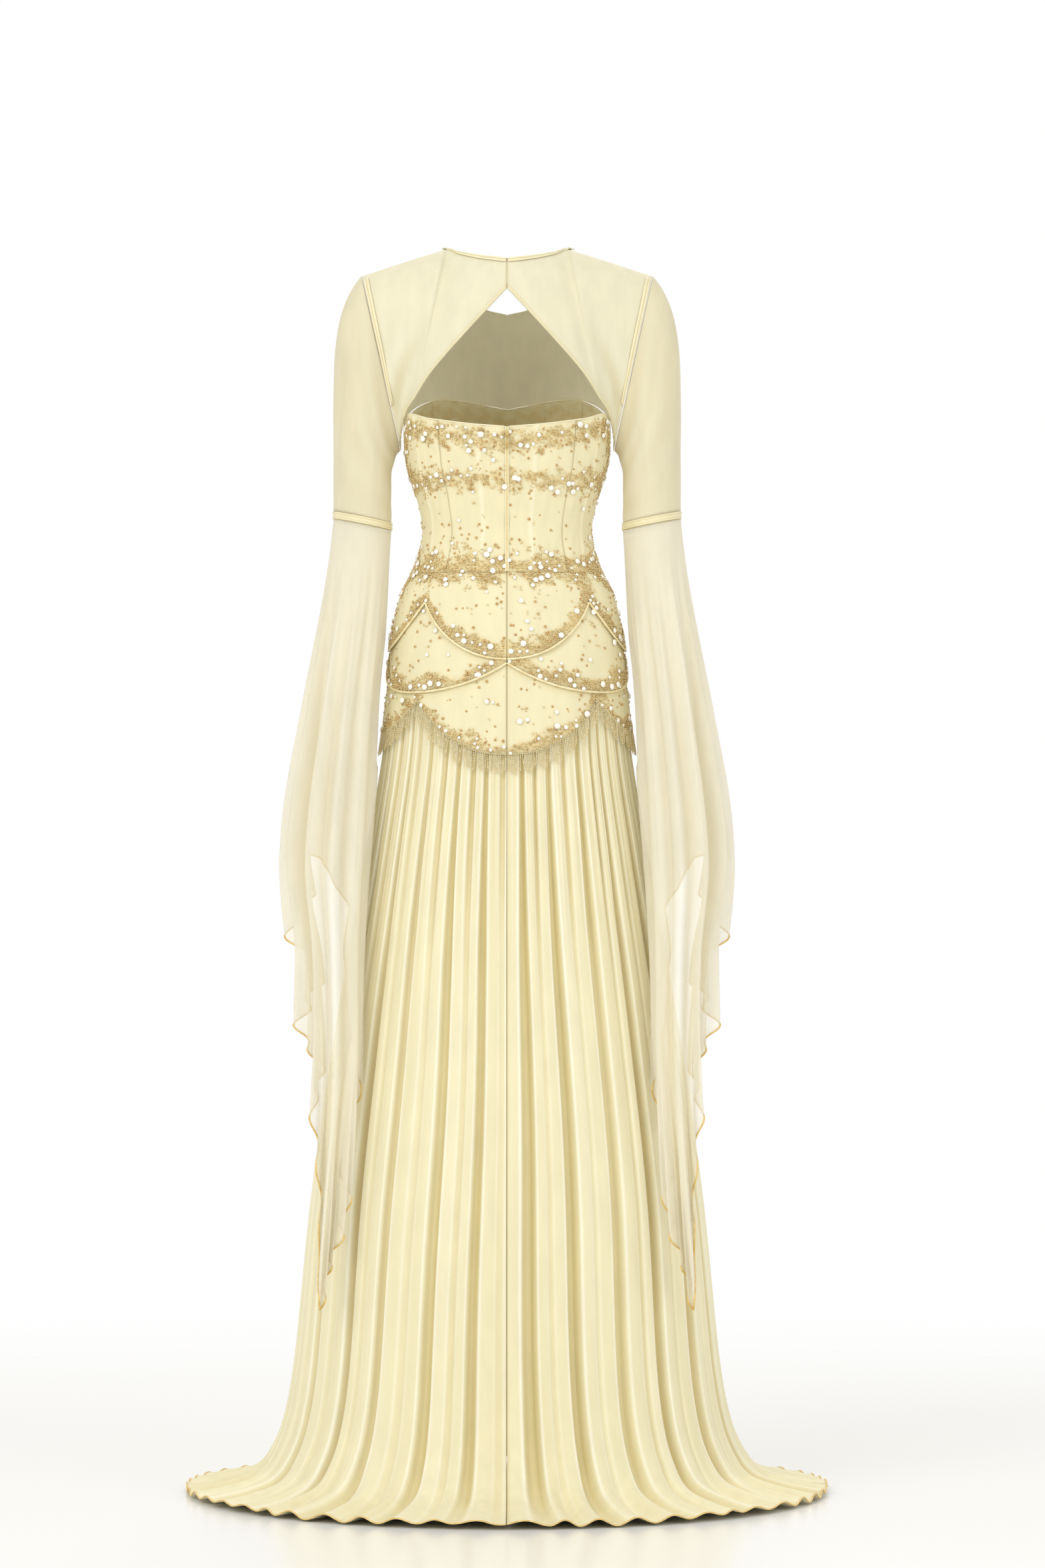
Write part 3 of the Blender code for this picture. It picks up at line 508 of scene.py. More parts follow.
class Groups:
    """Shader node groups that several finishes share, each built once."""

    def __init__(self) -> None:
        self.grain = self.build_grain()
        self.tone = self.build_tone()
        self.twist = self.build_twist()

    @staticmethod
    def start(name: str, inputs: dict[str, tuple], outputs: dict[str, str]):
        """A new group with sockets and its two end nodes.

        Args:
            name: The group's name.
            inputs: Socket type and default for each input.
            outputs: Socket type for each output.

        Returns:
            The group, its input node and its output node.
        """
        group = bpy.data.node_groups.new(name, "ShaderNodeTree")
        for label, (kind, default) in inputs.items():
            socket = group.interface.new_socket(name=label, in_out="INPUT", socket_type=kind)
            socket.default_value = default
        for label, kind in outputs.items():
            group.interface.new_socket(name=label, in_out="OUTPUT", socket_type=kind)
        return group, group.nodes.new("NodeGroupInput"), group.nodes.new("NodeGroupOutput")

    @classmethod
    def build_grain(cls) -> bpy.types.NodeTree:
        """Crepe grain: fine crossed threads and soft slubs, as a height and a tone."""
        group, given, out = cls.start(
            "chiffon_grain",
            {"Threads": ("NodeSocketFloat", 2100.0), "Slub": ("NodeSocketFloat", 60.0)},
            {"Height": "NodeSocketFloat", "Tone": "NodeSocketFloat"},
        )
        nodes, links = group.nodes, group.links
        place_at = nodes.new("ShaderNodeTexCoord")
        threads = nodes.new("ShaderNodeTexNoise")
        threads.inputs["Detail"].default_value = 3.0
        threads.inputs["Roughness"].default_value = 0.65
        links.new(place_at.outputs["Object"], threads.inputs["Vector"])
        links.new(given.outputs["Threads"], threads.inputs["Scale"])
        stretched = nodes.new("ShaderNodeMapping")
        stretched.inputs["Scale"].default_value = (1.0, 1.0, 0.22)
        links.new(place_at.outputs["Object"], stretched.inputs["Vector"])
        slub = nodes.new("ShaderNodeTexNoise")
        slub.inputs["Detail"].default_value = 4.0
        links.new(stretched.outputs["Vector"], slub.inputs["Vector"])
        links.new(given.outputs["Slub"], slub.inputs["Scale"])
        height = nodes.new("ShaderNodeMix")
        height.data_type = "FLOAT"
        height.inputs["Factor"].default_value = 0.35
        links.new(threads.outputs["Fac"], height.inputs["A"])
        links.new(slub.outputs["Fac"], height.inputs["B"])
        links.new(height.outputs["Result"], out.inputs["Height"])
        tone = nodes.new("ShaderNodeMapRange")
        tone.inputs["From Min"].default_value = 0.3
        tone.inputs["From Max"].default_value = 0.7
        tone.inputs["To Min"].default_value = 0.965
        tone.inputs["To Max"].default_value = 1.03
        links.new(slub.outputs["Fac"], tone.inputs["Value"])
        links.new(tone.outputs["Result"], out.inputs["Tone"])
        return group

    @classmethod
    def build_tone(cls) -> bpy.types.NodeTree:
        """Cloth colour with painted shade in folds and seams, painted highlight on crests, and the golden
        ground of the embroidery.
        """
        group, given, out = cls.start(
            "painted_shading_tone",
            {
                "Painted Highlight": ("NodeSocketColor", (1, 1, 1, 1)),
                "Face": ("NodeSocketColor", (1, 1, 1, 1)),
                "Painted Shade": ("NodeSocketColor", (1, 1, 1, 1)),
                "Work": ("NodeSocketColor", (1, 1, 1, 1)),
                "Tone": ("NodeSocketFloat", 1.0),
            },
            {"Color": "NodeSocketColor", "Worked": "NodeSocketFloat"},
        )
        nodes, links = group.nodes, group.links
        fold = nodes.new("ShaderNodeAttribute")
        fold.attribute_name = "fold"
        work = nodes.new("ShaderNodeAttribute")
        work.attribute_name = "work"
        # Painted shade: towards the shade colour where the fold mark is above 0.
        shade = cls.mix(nodes, links, given.outputs["Face"], given.outputs["Painted Shade"])
        rise = nodes.new("ShaderNodeMapRange")
        rise.inputs["From Min"].default_value = 0.0
        rise.inputs["From Max"].default_value = 1.0
        links.new(fold.outputs["Fac"], rise.inputs["Value"])
        links.new(rise.outputs["Result"], shade.inputs["Factor"])
        # Painted highlight: towards the highlight colour where the fold mark is below 0.
        light = cls.mix(nodes, links, shade.outputs["Result"], given.outputs["Painted Highlight"])
        fall = nodes.new("ShaderNodeMapRange")
        fall.inputs["From Min"].default_value = 0.0
        fall.inputs["From Max"].default_value = -1.0
        links.new(fold.outputs["Fac"], fall.inputs["Value"])
        links.new(fall.outputs["Result"], light.inputs["Factor"])
        golden = cls.mix(nodes, links, light.outputs["Result"], given.outputs["Work"])
        speckle = nodes.new("ShaderNodeTexNoise")
        speckle.inputs["Scale"].default_value = 700.0
        speckle.inputs["Detail"].default_value = 3.0
        place_at = nodes.new("ShaderNodeTexCoord")
        links.new(place_at.outputs["Object"], speckle.inputs["Vector"])
        cover = nodes.new("ShaderNodeMath")
        cover.operation = "MULTIPLY"
        sharp = nodes.new("ShaderNodeMapRange")
        sharp.inputs["From Min"].default_value = 0.38
        sharp.inputs["From Max"].default_value = 0.6
        sharp.inputs["To Min"].default_value = 0.35
        links.new(speckle.outputs["Fac"], sharp.inputs["Value"])
        links.new(sharp.outputs["Result"], cover.inputs[0])
        links.new(work.outputs["Fac"], cover.inputs[1])
        links.new(cover.outputs["Value"], golden.inputs["Factor"])
        links.new(cover.outputs["Value"], out.inputs["Worked"])
        toned = nodes.new("ShaderNodeVectorMath")
        toned.operation = "SCALE"
        links.new(golden.outputs["Result"], toned.inputs[0])
        links.new(given.outputs["Tone"], toned.inputs["Scale"])
        links.new(toned.outputs["Vector"], out.inputs["Color"])
        return group

    @classmethod
    def build_twist(cls) -> bpy.types.NodeTree:
        """The turns of a twisted cord, from the length marked along it."""
        group, given, out = cls.start(
            "cord_twist", {"Turns": ("NodeSocketFloat", 700.0)}, {"Height": "NodeSocketFloat"},
        )
        nodes, links = group.nodes, group.links
        length = nodes.new("ShaderNodeAttribute")
        length.attribute_name = "length"
        angle = nodes.new("ShaderNodeMath")
        angle.operation = "MULTIPLY"
        links.new(length.outputs["Fac"], angle.inputs[0])
        links.new(given.outputs["Turns"], angle.inputs[1])
        wave = nodes.new("ShaderNodeMath")
        wave.operation = "SINE"
        links.new(angle.outputs["Value"], wave.inputs[0])
        links.new(wave.outputs["Value"], out.inputs["Height"])
        return group

    @staticmethod
    def mix(nodes, links, first, second):
        """A colour mix between two sockets, with its factor left open."""
        mixed = nodes.new("ShaderNodeMix")
        mixed.data_type = "RGBA"
        links.new(first, mixed.inputs[6])
        links.new(second, mixed.inputs[7])

        class Ends:
            """The mix's own colour sockets, by plain names."""

            inputs = {"Factor": mixed.inputs[0]}
            outputs = {"Result": mixed.outputs[2]}

        return Ends


def principled(name: str) -> tuple[bpy.types.Material, bpy.types.Node]:
    """A new material and its Principled shader."""
    made = bpy.data.materials.new(name)
    made.use_nodes = True
    return made, made.node_tree.nodes["Principled BSDF"]


@dataclass(frozen=True)
class ClothFinish:
    """A cloth: its face colour, a painted highlight colour for crests, a painted shade colour for creases and
    seams, its embroidery colour, a painted glow and its veil.
    """

    name: str
    crest: Colour
    face: Colour
    deep: Colour
    work: Colour
    roughness: float = 0.72
    sheen: float = 0.25
    grain: float = 0.10
    cover: float = 1.0
    fold_cover: float = 0.0
    glow: float = 0.0

    def build(self, groups: Groups) -> bpy.types.Material:
        """Makes the material.

        Args:
            groups: The shared node groups.

        Returns:
            The material.
        """
        made, shader = principled(self.name)
        nodes, links = made.node_tree.nodes, made.node_tree.links
        grain = nodes.new("ShaderNodeGroup")
        grain.node_tree = groups.grain
        tone = nodes.new("ShaderNodeGroup")
        tone.node_tree = groups.tone
        for label, colour in (
            ("Painted Highlight", self.crest), ("Face", self.face), ("Painted Shade", self.deep), ("Work", self.work),
        ):
            tone.inputs[label].default_value = (*colour, 1.0)
        links.new(grain.outputs["Tone"], tone.inputs["Tone"])
        links.new(tone.outputs["Color"], shader.inputs["Base Color"])
        # Emission in the cloth's own colour: a painted glow that lightens it, standing in for light through
        # the chiffon.
        links.new(tone.outputs["Color"], shader.inputs["Emission Color"])
        shader.inputs["Emission Strength"].default_value = self.glow
        relief = nodes.new("ShaderNodeBump")
        relief.inputs["Strength"].default_value = self.grain
        relief.inputs["Distance"].default_value = 0.0004
        links.new(grain.outputs["Height"], relief.inputs["Height"])
        links.new(relief.outputs["Normal"], shader.inputs["Normal"])
        shader.inputs["Roughness"].default_value = self.roughness
        shader.inputs["Specular IOR Level"].default_value = 0.25
        shader.inputs["Sheen Weight"].default_value = self.sheen
        shader.inputs["Sheen Roughness"].default_value = 0.45
        shader.inputs["Sheen Tint"].default_value = (1.0, 0.97, 0.88, 1.0)
        if self.cover < 1.0:
            self.veil(nodes, links, shader)
        return made

    def veil(self, nodes, links, shader) -> None:
        """Lets light through, less where the cloth folds on itself."""
        fold = nodes.new("ShaderNodeAttribute")
        fold.attribute_name = "fold"
        cover = nodes.new("ShaderNodeMapRange")
        cover.inputs["From Min"].default_value = -1.0
        cover.inputs["From Max"].default_value = 1.0
        cover.inputs["To Min"].default_value = self.cover - self.fold_cover
        cover.inputs["To Max"].default_value = min(1.0, self.cover + self.fold_cover)
        links.new(fold.outputs["Fac"], cover.inputs["Value"])
        links.new(cover.outputs["Result"], shader.inputs["Alpha"])


@dataclass(frozen=True)
class GlintFinish:
    """Beads, cord or metal: one colour that varies a little, with a gloss."""

    name: str
    colour: Colour
    shade: Colour
    roughness: float
    metallic: float = 0.0
    coat: float = 0.0
    spots: float = 350.0
    twist: float = 0.0

    def build(self, groups: Groups) -> bpy.types.Material:
        """Makes the material.

        Args:
            groups: The shared node groups.

        Returns:
            The material.
        """
        made, shader = principled(self.name)
        nodes, links = made.node_tree.nodes, made.node_tree.links
        place_at = nodes.new("ShaderNodeTexCoord")
        spots = nodes.new("ShaderNodeTexNoise")
        spots.inputs["Scale"].default_value = self.spots
        spots.inputs["Detail"].default_value = 2.0
        links.new(place_at.outputs["Object"], spots.inputs["Vector"])
        spread = nodes.new("ShaderNodeMapRange")
        spread.inputs["From Min"].default_value = 0.32
        spread.inputs["From Max"].default_value = 0.68
        links.new(spots.outputs["Fac"], spread.inputs["Value"])
        tint = nodes.new("ShaderNodeMix")
        tint.data_type = "RGBA"
        tint.inputs[6].default_value = (*self.colour, 1.0)
        tint.inputs[7].default_value = (*self.shade, 1.0)
        links.new(spread.outputs["Result"], tint.inputs[0])
        links.new(tint.outputs[2], shader.inputs["Base Color"])
        shader.inputs["Roughness"].default_value = self.roughness
        shader.inputs["Metallic"].default_value = self.metallic
        shader.inputs["Coat Weight"].default_value = self.coat
        shader.inputs["Coat Roughness"].default_value = 0.12
        if self.twist:
            turns = nodes.new("ShaderNodeGroup")
            turns.node_tree = groups.twist
            relief = nodes.new("ShaderNodeBump")
            relief.inputs["Strength"].default_value = self.twist
            relief.inputs["Distance"].default_value = 0.0002
            links.new(turns.outputs["Height"], relief.inputs["Height"])
            links.new(relief.outputs["Normal"], shader.inputs["Normal"])
        return made


class Finishes:
    """Every material of the dress."""

    def __init__(self) -> None:
        groups = Groups()
        gold = linear(221, 199, 142)
        # Each cloth lists its painted highlight colour for crests, its face colour, its painted shade colour
        # for creases and seams, and the golden embroidery ground.
        self.chiffon = ClothFinish(
            "pleated_chiffon", linear(248, 245, 224), linear(233, 225, 188),
            linear(213, 197, 142), gold).build(groups)
        self.bodice = ClothFinish(
            "bodice_chiffon", linear(244, 239, 210), linear(234, 226, 188),
            linear(216, 200, 148), gold, sheen=0.2).build(groups)
        # The yoke and sleeve chiffons also get a small painted glow.
        self.yoke = ClothFinish(
            "yoke_chiffon", linear(243, 239, 218), linear(232, 227, 199),
            linear(214, 203, 162), gold, cover=0.86, fold_cover=0.08, glow=0.07).build(groups)
        self.sleeve = ClothFinish(
            "sleeve_chiffon", linear(243, 238, 216), linear(232, 225, 195),
            linear(214, 201, 158), gold, cover=0.76, fold_cover=0.12, glow=0.05).build(groups)
        self.flare = ClothFinish(
            "flared_sleeve_chiffon", linear(247, 244, 232), linear(238, 232, 210),
            linear(223, 212, 174), gold, cover=0.47, fold_cover=0.20, glow=0.07).build(groups)
        self.satin = ClothFinish(
            "satin_binding", linear(246, 241, 214), linear(234, 225, 186),
            linear(208, 188, 130), gold, roughness=0.45, sheen=0.1, grain=0.05).build(groups)
        self.piping = GlintFinish(
            "gold_piping", linear(246, 236, 196), linear(232, 212, 156),
            0.38, coat=0.2, spots=120.0, twist=0.5).build(groups)
        self.thread = GlintFinish(
            "gold_thread", linear(236, 208, 136), linear(220, 184, 104),
            0.42, metallic=0.15, spots=160.0, twist=0.6).build(groups)
        self.seed = GlintFinish(
            "seed_beads", linear(238, 220, 168), linear(206, 177, 112),
            0.28, metallic=0.2, coat=0.5).build(groups)
        self.string = GlintFinish(
            "fringe_strings", linear(243, 230, 188), linear(222, 201, 146),
            0.35, coat=0.4, spots=240.0).build(groups)
        self.bronze = GlintFinish(
            "bronze_rings", linear(230, 196, 132), linear(204, 162, 98),
            0.25, metallic=0.3, coat=0.4).build(groups)
        self.pearl = GlintFinish(
            "pearl_discs", linear(255, 254, 250), linear(243, 236, 220),
            0.18, coat=0.8, spots=200.0).build(groups)
        self.metal = GlintFinish(
            "zip_metal", linear(228, 203, 140), linear(192, 160, 92),
            0.30, metallic=0.6, spots=90.0).build(groups)


# Bodice

@dataclass
class Bodice:
    """Seven boned panels from the waist seam to the top edge."""

    looks: Finishes
    columns_per_quarter: int = 72
    rows: int = 56
    seam_depth: float = 0.0004
    seam_half: float = 0.0032
    bone_height: float = 0.0007
    bone_half: float = 0.0030
    bones: tuple[float, ...] = (16.0, 56.0, 110.0, 158.0)
    edge_radius: float = 0.0011

    def relief(self, angle: Array, height: Array) -> tuple[Array, Array]:
        """How far the cloth stands out, and its fold mark of painted shade and painted highlight.

        Args:
            angle: Angle from the centre back.
            height: Height above the floor.

        Returns:
            The stand, in metres, and the fold mark: painted shade, 1 in a seam, and painted highlight, below
                0 on a bone.
        """
        folded = np.abs((angle + math.pi) % TURN - math.pi)
        wide = PATTERN.section(height)[..., 0]
        seam = np.zeros_like(folded)
        for line in (PATTERN.back_seam, QUARTER, PATTERN.front_seam):
            seam = np.maximum(seam, bump((folded - line) * wide, 0.0, self.seam_half))
        bone = np.zeros_like(folded)
        for line in np.radians(self.bones):
            bone = np.maximum(bone, bump((folded - line) * wide, 0.0, self.bone_half) ** 0.6)
        shown = ease(PATTERN.waist + 0.012, PATTERN.waist + 0.03, height)
        puckers = 0.0004 * cloudy(folded * wide, height * 0.35, 0.014, 5)
        stand = self.bone_height * bone * shown - self.seam_depth * seam + puckers
        # The mark paints shade into the seams and a highlight onto the raised bones.
        return stand, np.clip(0.22 * seam - 0.6 * bone * shown + 0.10, -1, 1)

    def panel(self, start: float, end: float) -> tuple[Surface, dict[str, Surface]]:
        """The surface of a panel between two angles, and its marks."""
        gap = SEAM_GAP / 2 / 0.10

        def angle_height(u: Array, v: Array) -> tuple[Array, Array]:
            angle = start + gap + (end - start - 2 * gap) * u
            return angle, PATTERN.waist + (PATTERN.bodice_top(angle) - PATTERN.waist) * v

        def surface(u: Array, v: Array) -> Array:
            angle, height = angle_height(u, v)
            return PATTERN.on_figure(angle, height, self.relief(angle, height)[0])

        marks = {
            "fold": lambda u, v: self.relief(*angle_height(u, v))[1],
            "work": lambda u, v: BEADING.ground(*angle_height(u, v)),
        }
        return surface, marks

    def build(self) -> None:
        """Makes the panels and the corded top edge."""
        spans = [
            ("bodice_back", 0.0, PATTERN.back_seam),
            ("bodice_side_back", PATTERN.back_seam, QUARTER),
            ("bodice_side_front", QUARTER, PATTERN.front_seam),
        ]
        pieces = [(f"{name}_right", start, end) for name, start, end in spans]
        pieces += [(f"{name}_left", -end, -start) for name, start, end in spans]
        pieces.append(("bodice_centre_front", PATTERN.front_seam, TURN - PATTERN.front_seam))
        for node, start, end in pieces:
            surface, marks = self.panel(start, end)
            columns = round(self.columns_per_quarter * (end - start) / QUARTER)
            Sheet(
                f"{node}_cloth", columns, self.rows, surface, self.looks.bodice,
                "pleated_chiffon", (node,), Held.STRETCHED, upright_axis, marks=marks,
                thickness=0.0010,
            ).build()
        for side in Side:
            angle = side.sign * np.linspace(0.022, math.pi - 0.002, 260)
            height = PATTERN.bodice_top(angle) - 0.0006
            points = PATTERN.on_figure(angle, height, -0.0003)
            cord = tube(f"bodice_top_cord_{side.word}", points, self.edge_radius, self.looks.satin)
            set_mark(cord.data, "fold", np.full(len(cord.data.vertices), -0.2))
            dress_piece(cord, "satin_binding")


# Hip tiers and fringe

@dataclass
class HipTiers:
    """Three overlapping scalloped tiers and the piping of two; the fringe of the third is made by Fringe."""

    looks: Finishes
    columns_per_quarter: int = 84
    rows: int = 22
    piping_radius: float = 0.0015
    drape: float = 0.0008

    def sheet(self, tier: Tier, ending: str, start: float, end: float) -> None:
        """Makes one panel of a tier."""
        def angle_height(u: Array, v: Array) -> tuple[Array, Array]:
            angle = panel_angle(start, end, u)
            low = tier.edge(angle)
            return angle, low + (tier.top - low) * v

        def surface(u: Array, v: Array) -> Array:
            angle, height = angle_height(u, v)
            stand = self.drape * cloudy(angle * 0.15, height * 0.3, 0.045, 21)
            stand = stand * ease(0.0, 0.02, tier.top - height) * 0.8
            return PATTERN.on_figure(angle, height, tier.inset + stand - self.drape * 0.4)

        # Fold mark: painted shade along the centre-back seam and a painted shadow just under the edge of the
        # tier above.
        def fold(u: Array, v: Array) -> Array:
            angle, height = angle_height(u, v)
            folded = np.abs((angle + math.pi) % TURN - math.pi) * 0.15
            seam = bump(folded, 0.0, 0.0016)
            shade = 0.0
            if tier.name != "tier1":
                above = TIERS[int(tier.name[-1]) - 2].edge(angle)
                shade = 0.4 * bump(height, above - 0.002, 0.012)
            return np.clip(0.45 * seam + shade + 0.05, 0, 1)

        node = f"{tier.name}_{ending}"
        Sheet(
            f"{node}_cloth", round(self.columns_per_quarter * (end - start) / QUARTER), self.rows,
            surface, self.looks.bodice, "pleated_chiffon", (node,), Held.STRETCHED, upright_axis,
            marks={"fold": fold, "work": lambda u, v: BEADING.ground(*angle_height(u, v))},
            thickness=0.0008,
        ).build()

    def piping(self, tier: Tier, ending: str, start: float, end: float) -> None:
        """Makes the round cord along a tier's edge."""
        trim = 0.0015 * QUARTER / (end - start)
        count = round(170 * (end - start) / QUARTER)
        angle = panel_angle(start, end, np.linspace(trim, 1 - trim, count))
        height = tier.edge(angle) - self.piping_radius - SEAM_GAP
        points = PATTERN.on_figure(angle, height, tier.inset + 0.0004)
        node = f"{tier.name}_piping_{ending}"
        cord = tube(f"{node}_cord", points, self.piping_radius, self.looks.piping)
        dress_piece(cord, "gold_piping", node)

    def build(self) -> None:
        """Makes the tiers and their piping."""
        for tier in TIERS:
            for ending, start, end in PANELS:
                self.sheet(tier, ending, start, end)
                if tier.name != "tier3":
                    self.piping(tier, ending, start, end)


@dataclass
class Beads:
    """Seed beads, pearl discs and bronze rings laid on the cloth."""

    looks: Finishes
    seed_spacing: float = 0.0027
    seed_radius: float = 0.00115
    ring_radius: float = 0.0016
    pearl_radii: tuple[float, float] = (0.0020, 0.0044)
    back_front: tuple[tuple[str, float, float], ...] = (
        ("back", -QUARTER, QUARTER), ("front", QUARTER, 3 * QUARTER),
    )

    @staticmethod
    def shape(kind: str) -> tuple[Array, Array]:
        """Points and triangles of one bead of unit radius.

        Args:
            kind: Seed, pearl or ring.

        Returns:
            The points and the triangles' indices.
        """
        bm = bmesh.new()
        if kind == "seed":
            bmesh.ops.create_uvsphere(bm, u_segments=4, v_segments=3, radius=1.0)
        elif kind == "pearl":
            bmesh.ops.create_uvsphere(bm, u_segments=9, v_segments=5, radius=1.0)
        else:
            bmesh.ops.create_circle(bm, segments=4, radius=0.36)
            bmesh.ops.rotate(bm, verts=bm.verts, matrix=quarter_turn())
            bmesh.ops.translate(bm, verts=bm.verts, vec=(0.64, 0.0, 0.0))
            bmesh.ops.spin(
                bm, geom=bm.verts[:] + bm.edges[:], axis=(0, 0, 1), cent=(0, 0, 0),
                angle=TURN, steps=8, use_merge=True,
            )
            bmesh.ops.remove_doubles(bm, verts=bm.verts[:], dist=1e-5)
            bmesh.ops.recalc_face_normals(bm, faces=bm.faces[:])
        bmesh.ops.triangulate(bm, faces=bm.faces[:])
        bm.verts.index_update()
        points = np.array([tuple(vertex.co) for vertex in bm.verts])
        faces = np.array([[vertex.index for vertex in face.verts] for face in bm.faces])
        bm.free()
        return points, faces

    def lay(self, name: str, kind: str, centres: Array, normals: Array, radii: Array,
            squash: float, look: bpy.types.Material, slot: str = "bead_trim",
            nodes: tuple[str, ...] = ()) -> bpy.types.Object:
        """Joins many beads of a kind into one piece.

        Args:
            name: The piece's name.
            kind: Seed, pearl or ring.
            centres: Each bead's centre.
            normals: The direction that each bead faces.
            radii: Each bead's radius.
            squash: Thickness for its radius.
            look: The material.
            slot: The record's material slot; not used.
            nodes: Solids that it stands for.

        Returns:
            The piece.
        """
        shape, faces = self.shape(kind)
        side = unit(np.cross(normals, UP + np.array([0.01, 0.02, 0.0])))
        over = np.cross(normals, side)
        local = shape[None, :, :] * radii[:, None, None]
        points = (
            centres[:, None, :]
            + local[..., 0:1] * side[:, None, :]
            + local[..., 1:2] * over[:, None, :]
            + local[..., 2:3] * normals[:, None, :] * squash
        ).reshape(-1, 3)
        turned = np.linalg.det(np.stack([side[0], over[0], normals[0]])) < 0
        order = faces[:, ::-1] if turned else faces
        steps = (np.arange(len(centres)) * len(shape))[:, None, None]
        mesh = bpy.data.meshes.new(name)
        mesh.from_pydata(points, [], (order[None] + steps).reshape(-1, 3))
        mesh.shade_smooth()
        return dress_piece(link(name, mesh, look), slot, *nodes)

    def candidates(self, start: float, end: float, spacing: float, seed: int) -> tuple:
        """Jittered places over the embroidered part of a half of the dress.

        Args:
            start: First angle.
            end: Last angle.
            spacing: Distance between places.
            seed: Which jitter.

        Returns:
            Angles, heights and a random number for each.
        """
        random = np.random.default_rng(seed)
        wide = 0.155
        columns = int((end - start) * wide / spacing)
        rows = int((1.415 - 0.945) / spacing)
        column, row = np.meshgrid(np.arange(columns), np.arange(rows))
        column = column + 0.5 * (row % 2) + random.uniform(-0.38, 0.38, column.shape)
        row = row + random.uniform(-0.38, 0.38, row.shape)
        angle = start + (end - start) * (column + 0.5) / columns
        height = 0.945 + (1.415 - 0.945) * (row + 0.5) / rows
        chance = random.uniform(0, 1, angle.shape)
        inside = (
            (angle > start + 0.004) & (angle < end - 0.004)
            & (height < PATTERN.bodice_top(angle) - 0.004)
            & (height > TIERS[2].edge(angle) + 0.001)
            & (np.abs((angle + math.pi) % TURN - math.pi) * wide > 0.0030)
        )
        for tier in TIERS[:2]:
            below = tier.edge(angle) - height
            inside &= (below < 0.0) | (below > 0.0045)
        thinned = chance < (PATTERN.section(height)[..., 0] / 0.155)
        keep = inside & thinned
        return angle[keep], height[keep], random.uniform(0, 1, keep.sum())

    def seated(self, angle: Array, height: Array, lift: Array) -> tuple[Array, Array]:
        """Bead centres and normals at places on the cloth that shows."""
        offset = BEADING.surface_offset(angle, height)
        normals = PATTERN.figure_normal(angle, height)
        at = PATTERN.on_figure(angle, height, offset) + normals * np.reshape(lift, (-1, 1))
        return at, normals

    def build(self) -> None:
        """Lays the beads of each kind on the back and on the front."""
        for half, start, end in self.back_front:
            seed = 100 if half == "back" else 200
            angle, height, chance = self.candidates(start, end, self.seed_spacing, seed)
            keep = chance < BEADING.strength(angle, height) ** 1.2
            angle, height, chance = angle[keep], height[keep], chance[keep]
            random = np.random.default_rng(seed + 1)
            radii = self.seed_radius * random.uniform(0.75, 1.25, len(angle))
            centres, normals = self.seated(angle, height, radii * 0.7)
            self.lay(f"seed_beads_{half}", "seed", centres, normals, radii, 0.8, self.looks.seed)
            self.rings(half, start, end, seed + 2)
            self.pearls(half, start, end, seed + 3)

    def rings(self, half: str, start: float, end: float, seed: int) -> None:
        """Small bronze rings, strewn over the tiers and round the bands."""
        angle, height, chance = self.candidates(start, end, 0.0062, seed)
        bare = ease(1.25, 1.215, height) * 0.5 + 0.5 * bump(height, 1.31, 0.075) + 0.08
        keep = chance < 0.13 * bare + 0.34 * BEADING.strength(angle, height) ** 0.7
        angle, height, chance = angle[keep], height[keep], chance[keep]
        radii = self.ring_radius * (0.85 + 0.5 * np.random.default_rng(seed).uniform(0, 1, len(angle)))
        centres, normals = self.seated(angle, height, radii * 0.3)
        self.lay(f"bronze_rings_{half}", "ring", centres, normals, radii, 1.0, self.looks.bronze)

    def pearls(self, half: str, start: float, end: float, seed: int) -> None:
        """Pearl discs in the bands, and a few between them."""
        angle, height, chance = self.candidates(start, end, 0.0105, seed)
        low, high = self.pearl_radii
        size = np.random.default_rng(seed).uniform(0, 1, len(angle)) ** 1.7
        keep = chance < 0.045 * ease(1.25, 1.2, height) + 0.52 * BEADING.strength(angle, height)
        angle, height, size = angle[keep], height[keep], size[keep]
        radii = low + (high - low) * size
        centres, normals = self.seated(angle, height, radii * 0.32 + 0.0007)
        self.lay(f"pearl_discs_{half}", "pearl", centres, normals, radii, 0.42, self.looks.pearl)


def quarter_turn():
    """A quarter turn about X, as a matrix."""
    from mathutils import Matrix
    return Matrix.Rotation(QUARTER, 3, "X")


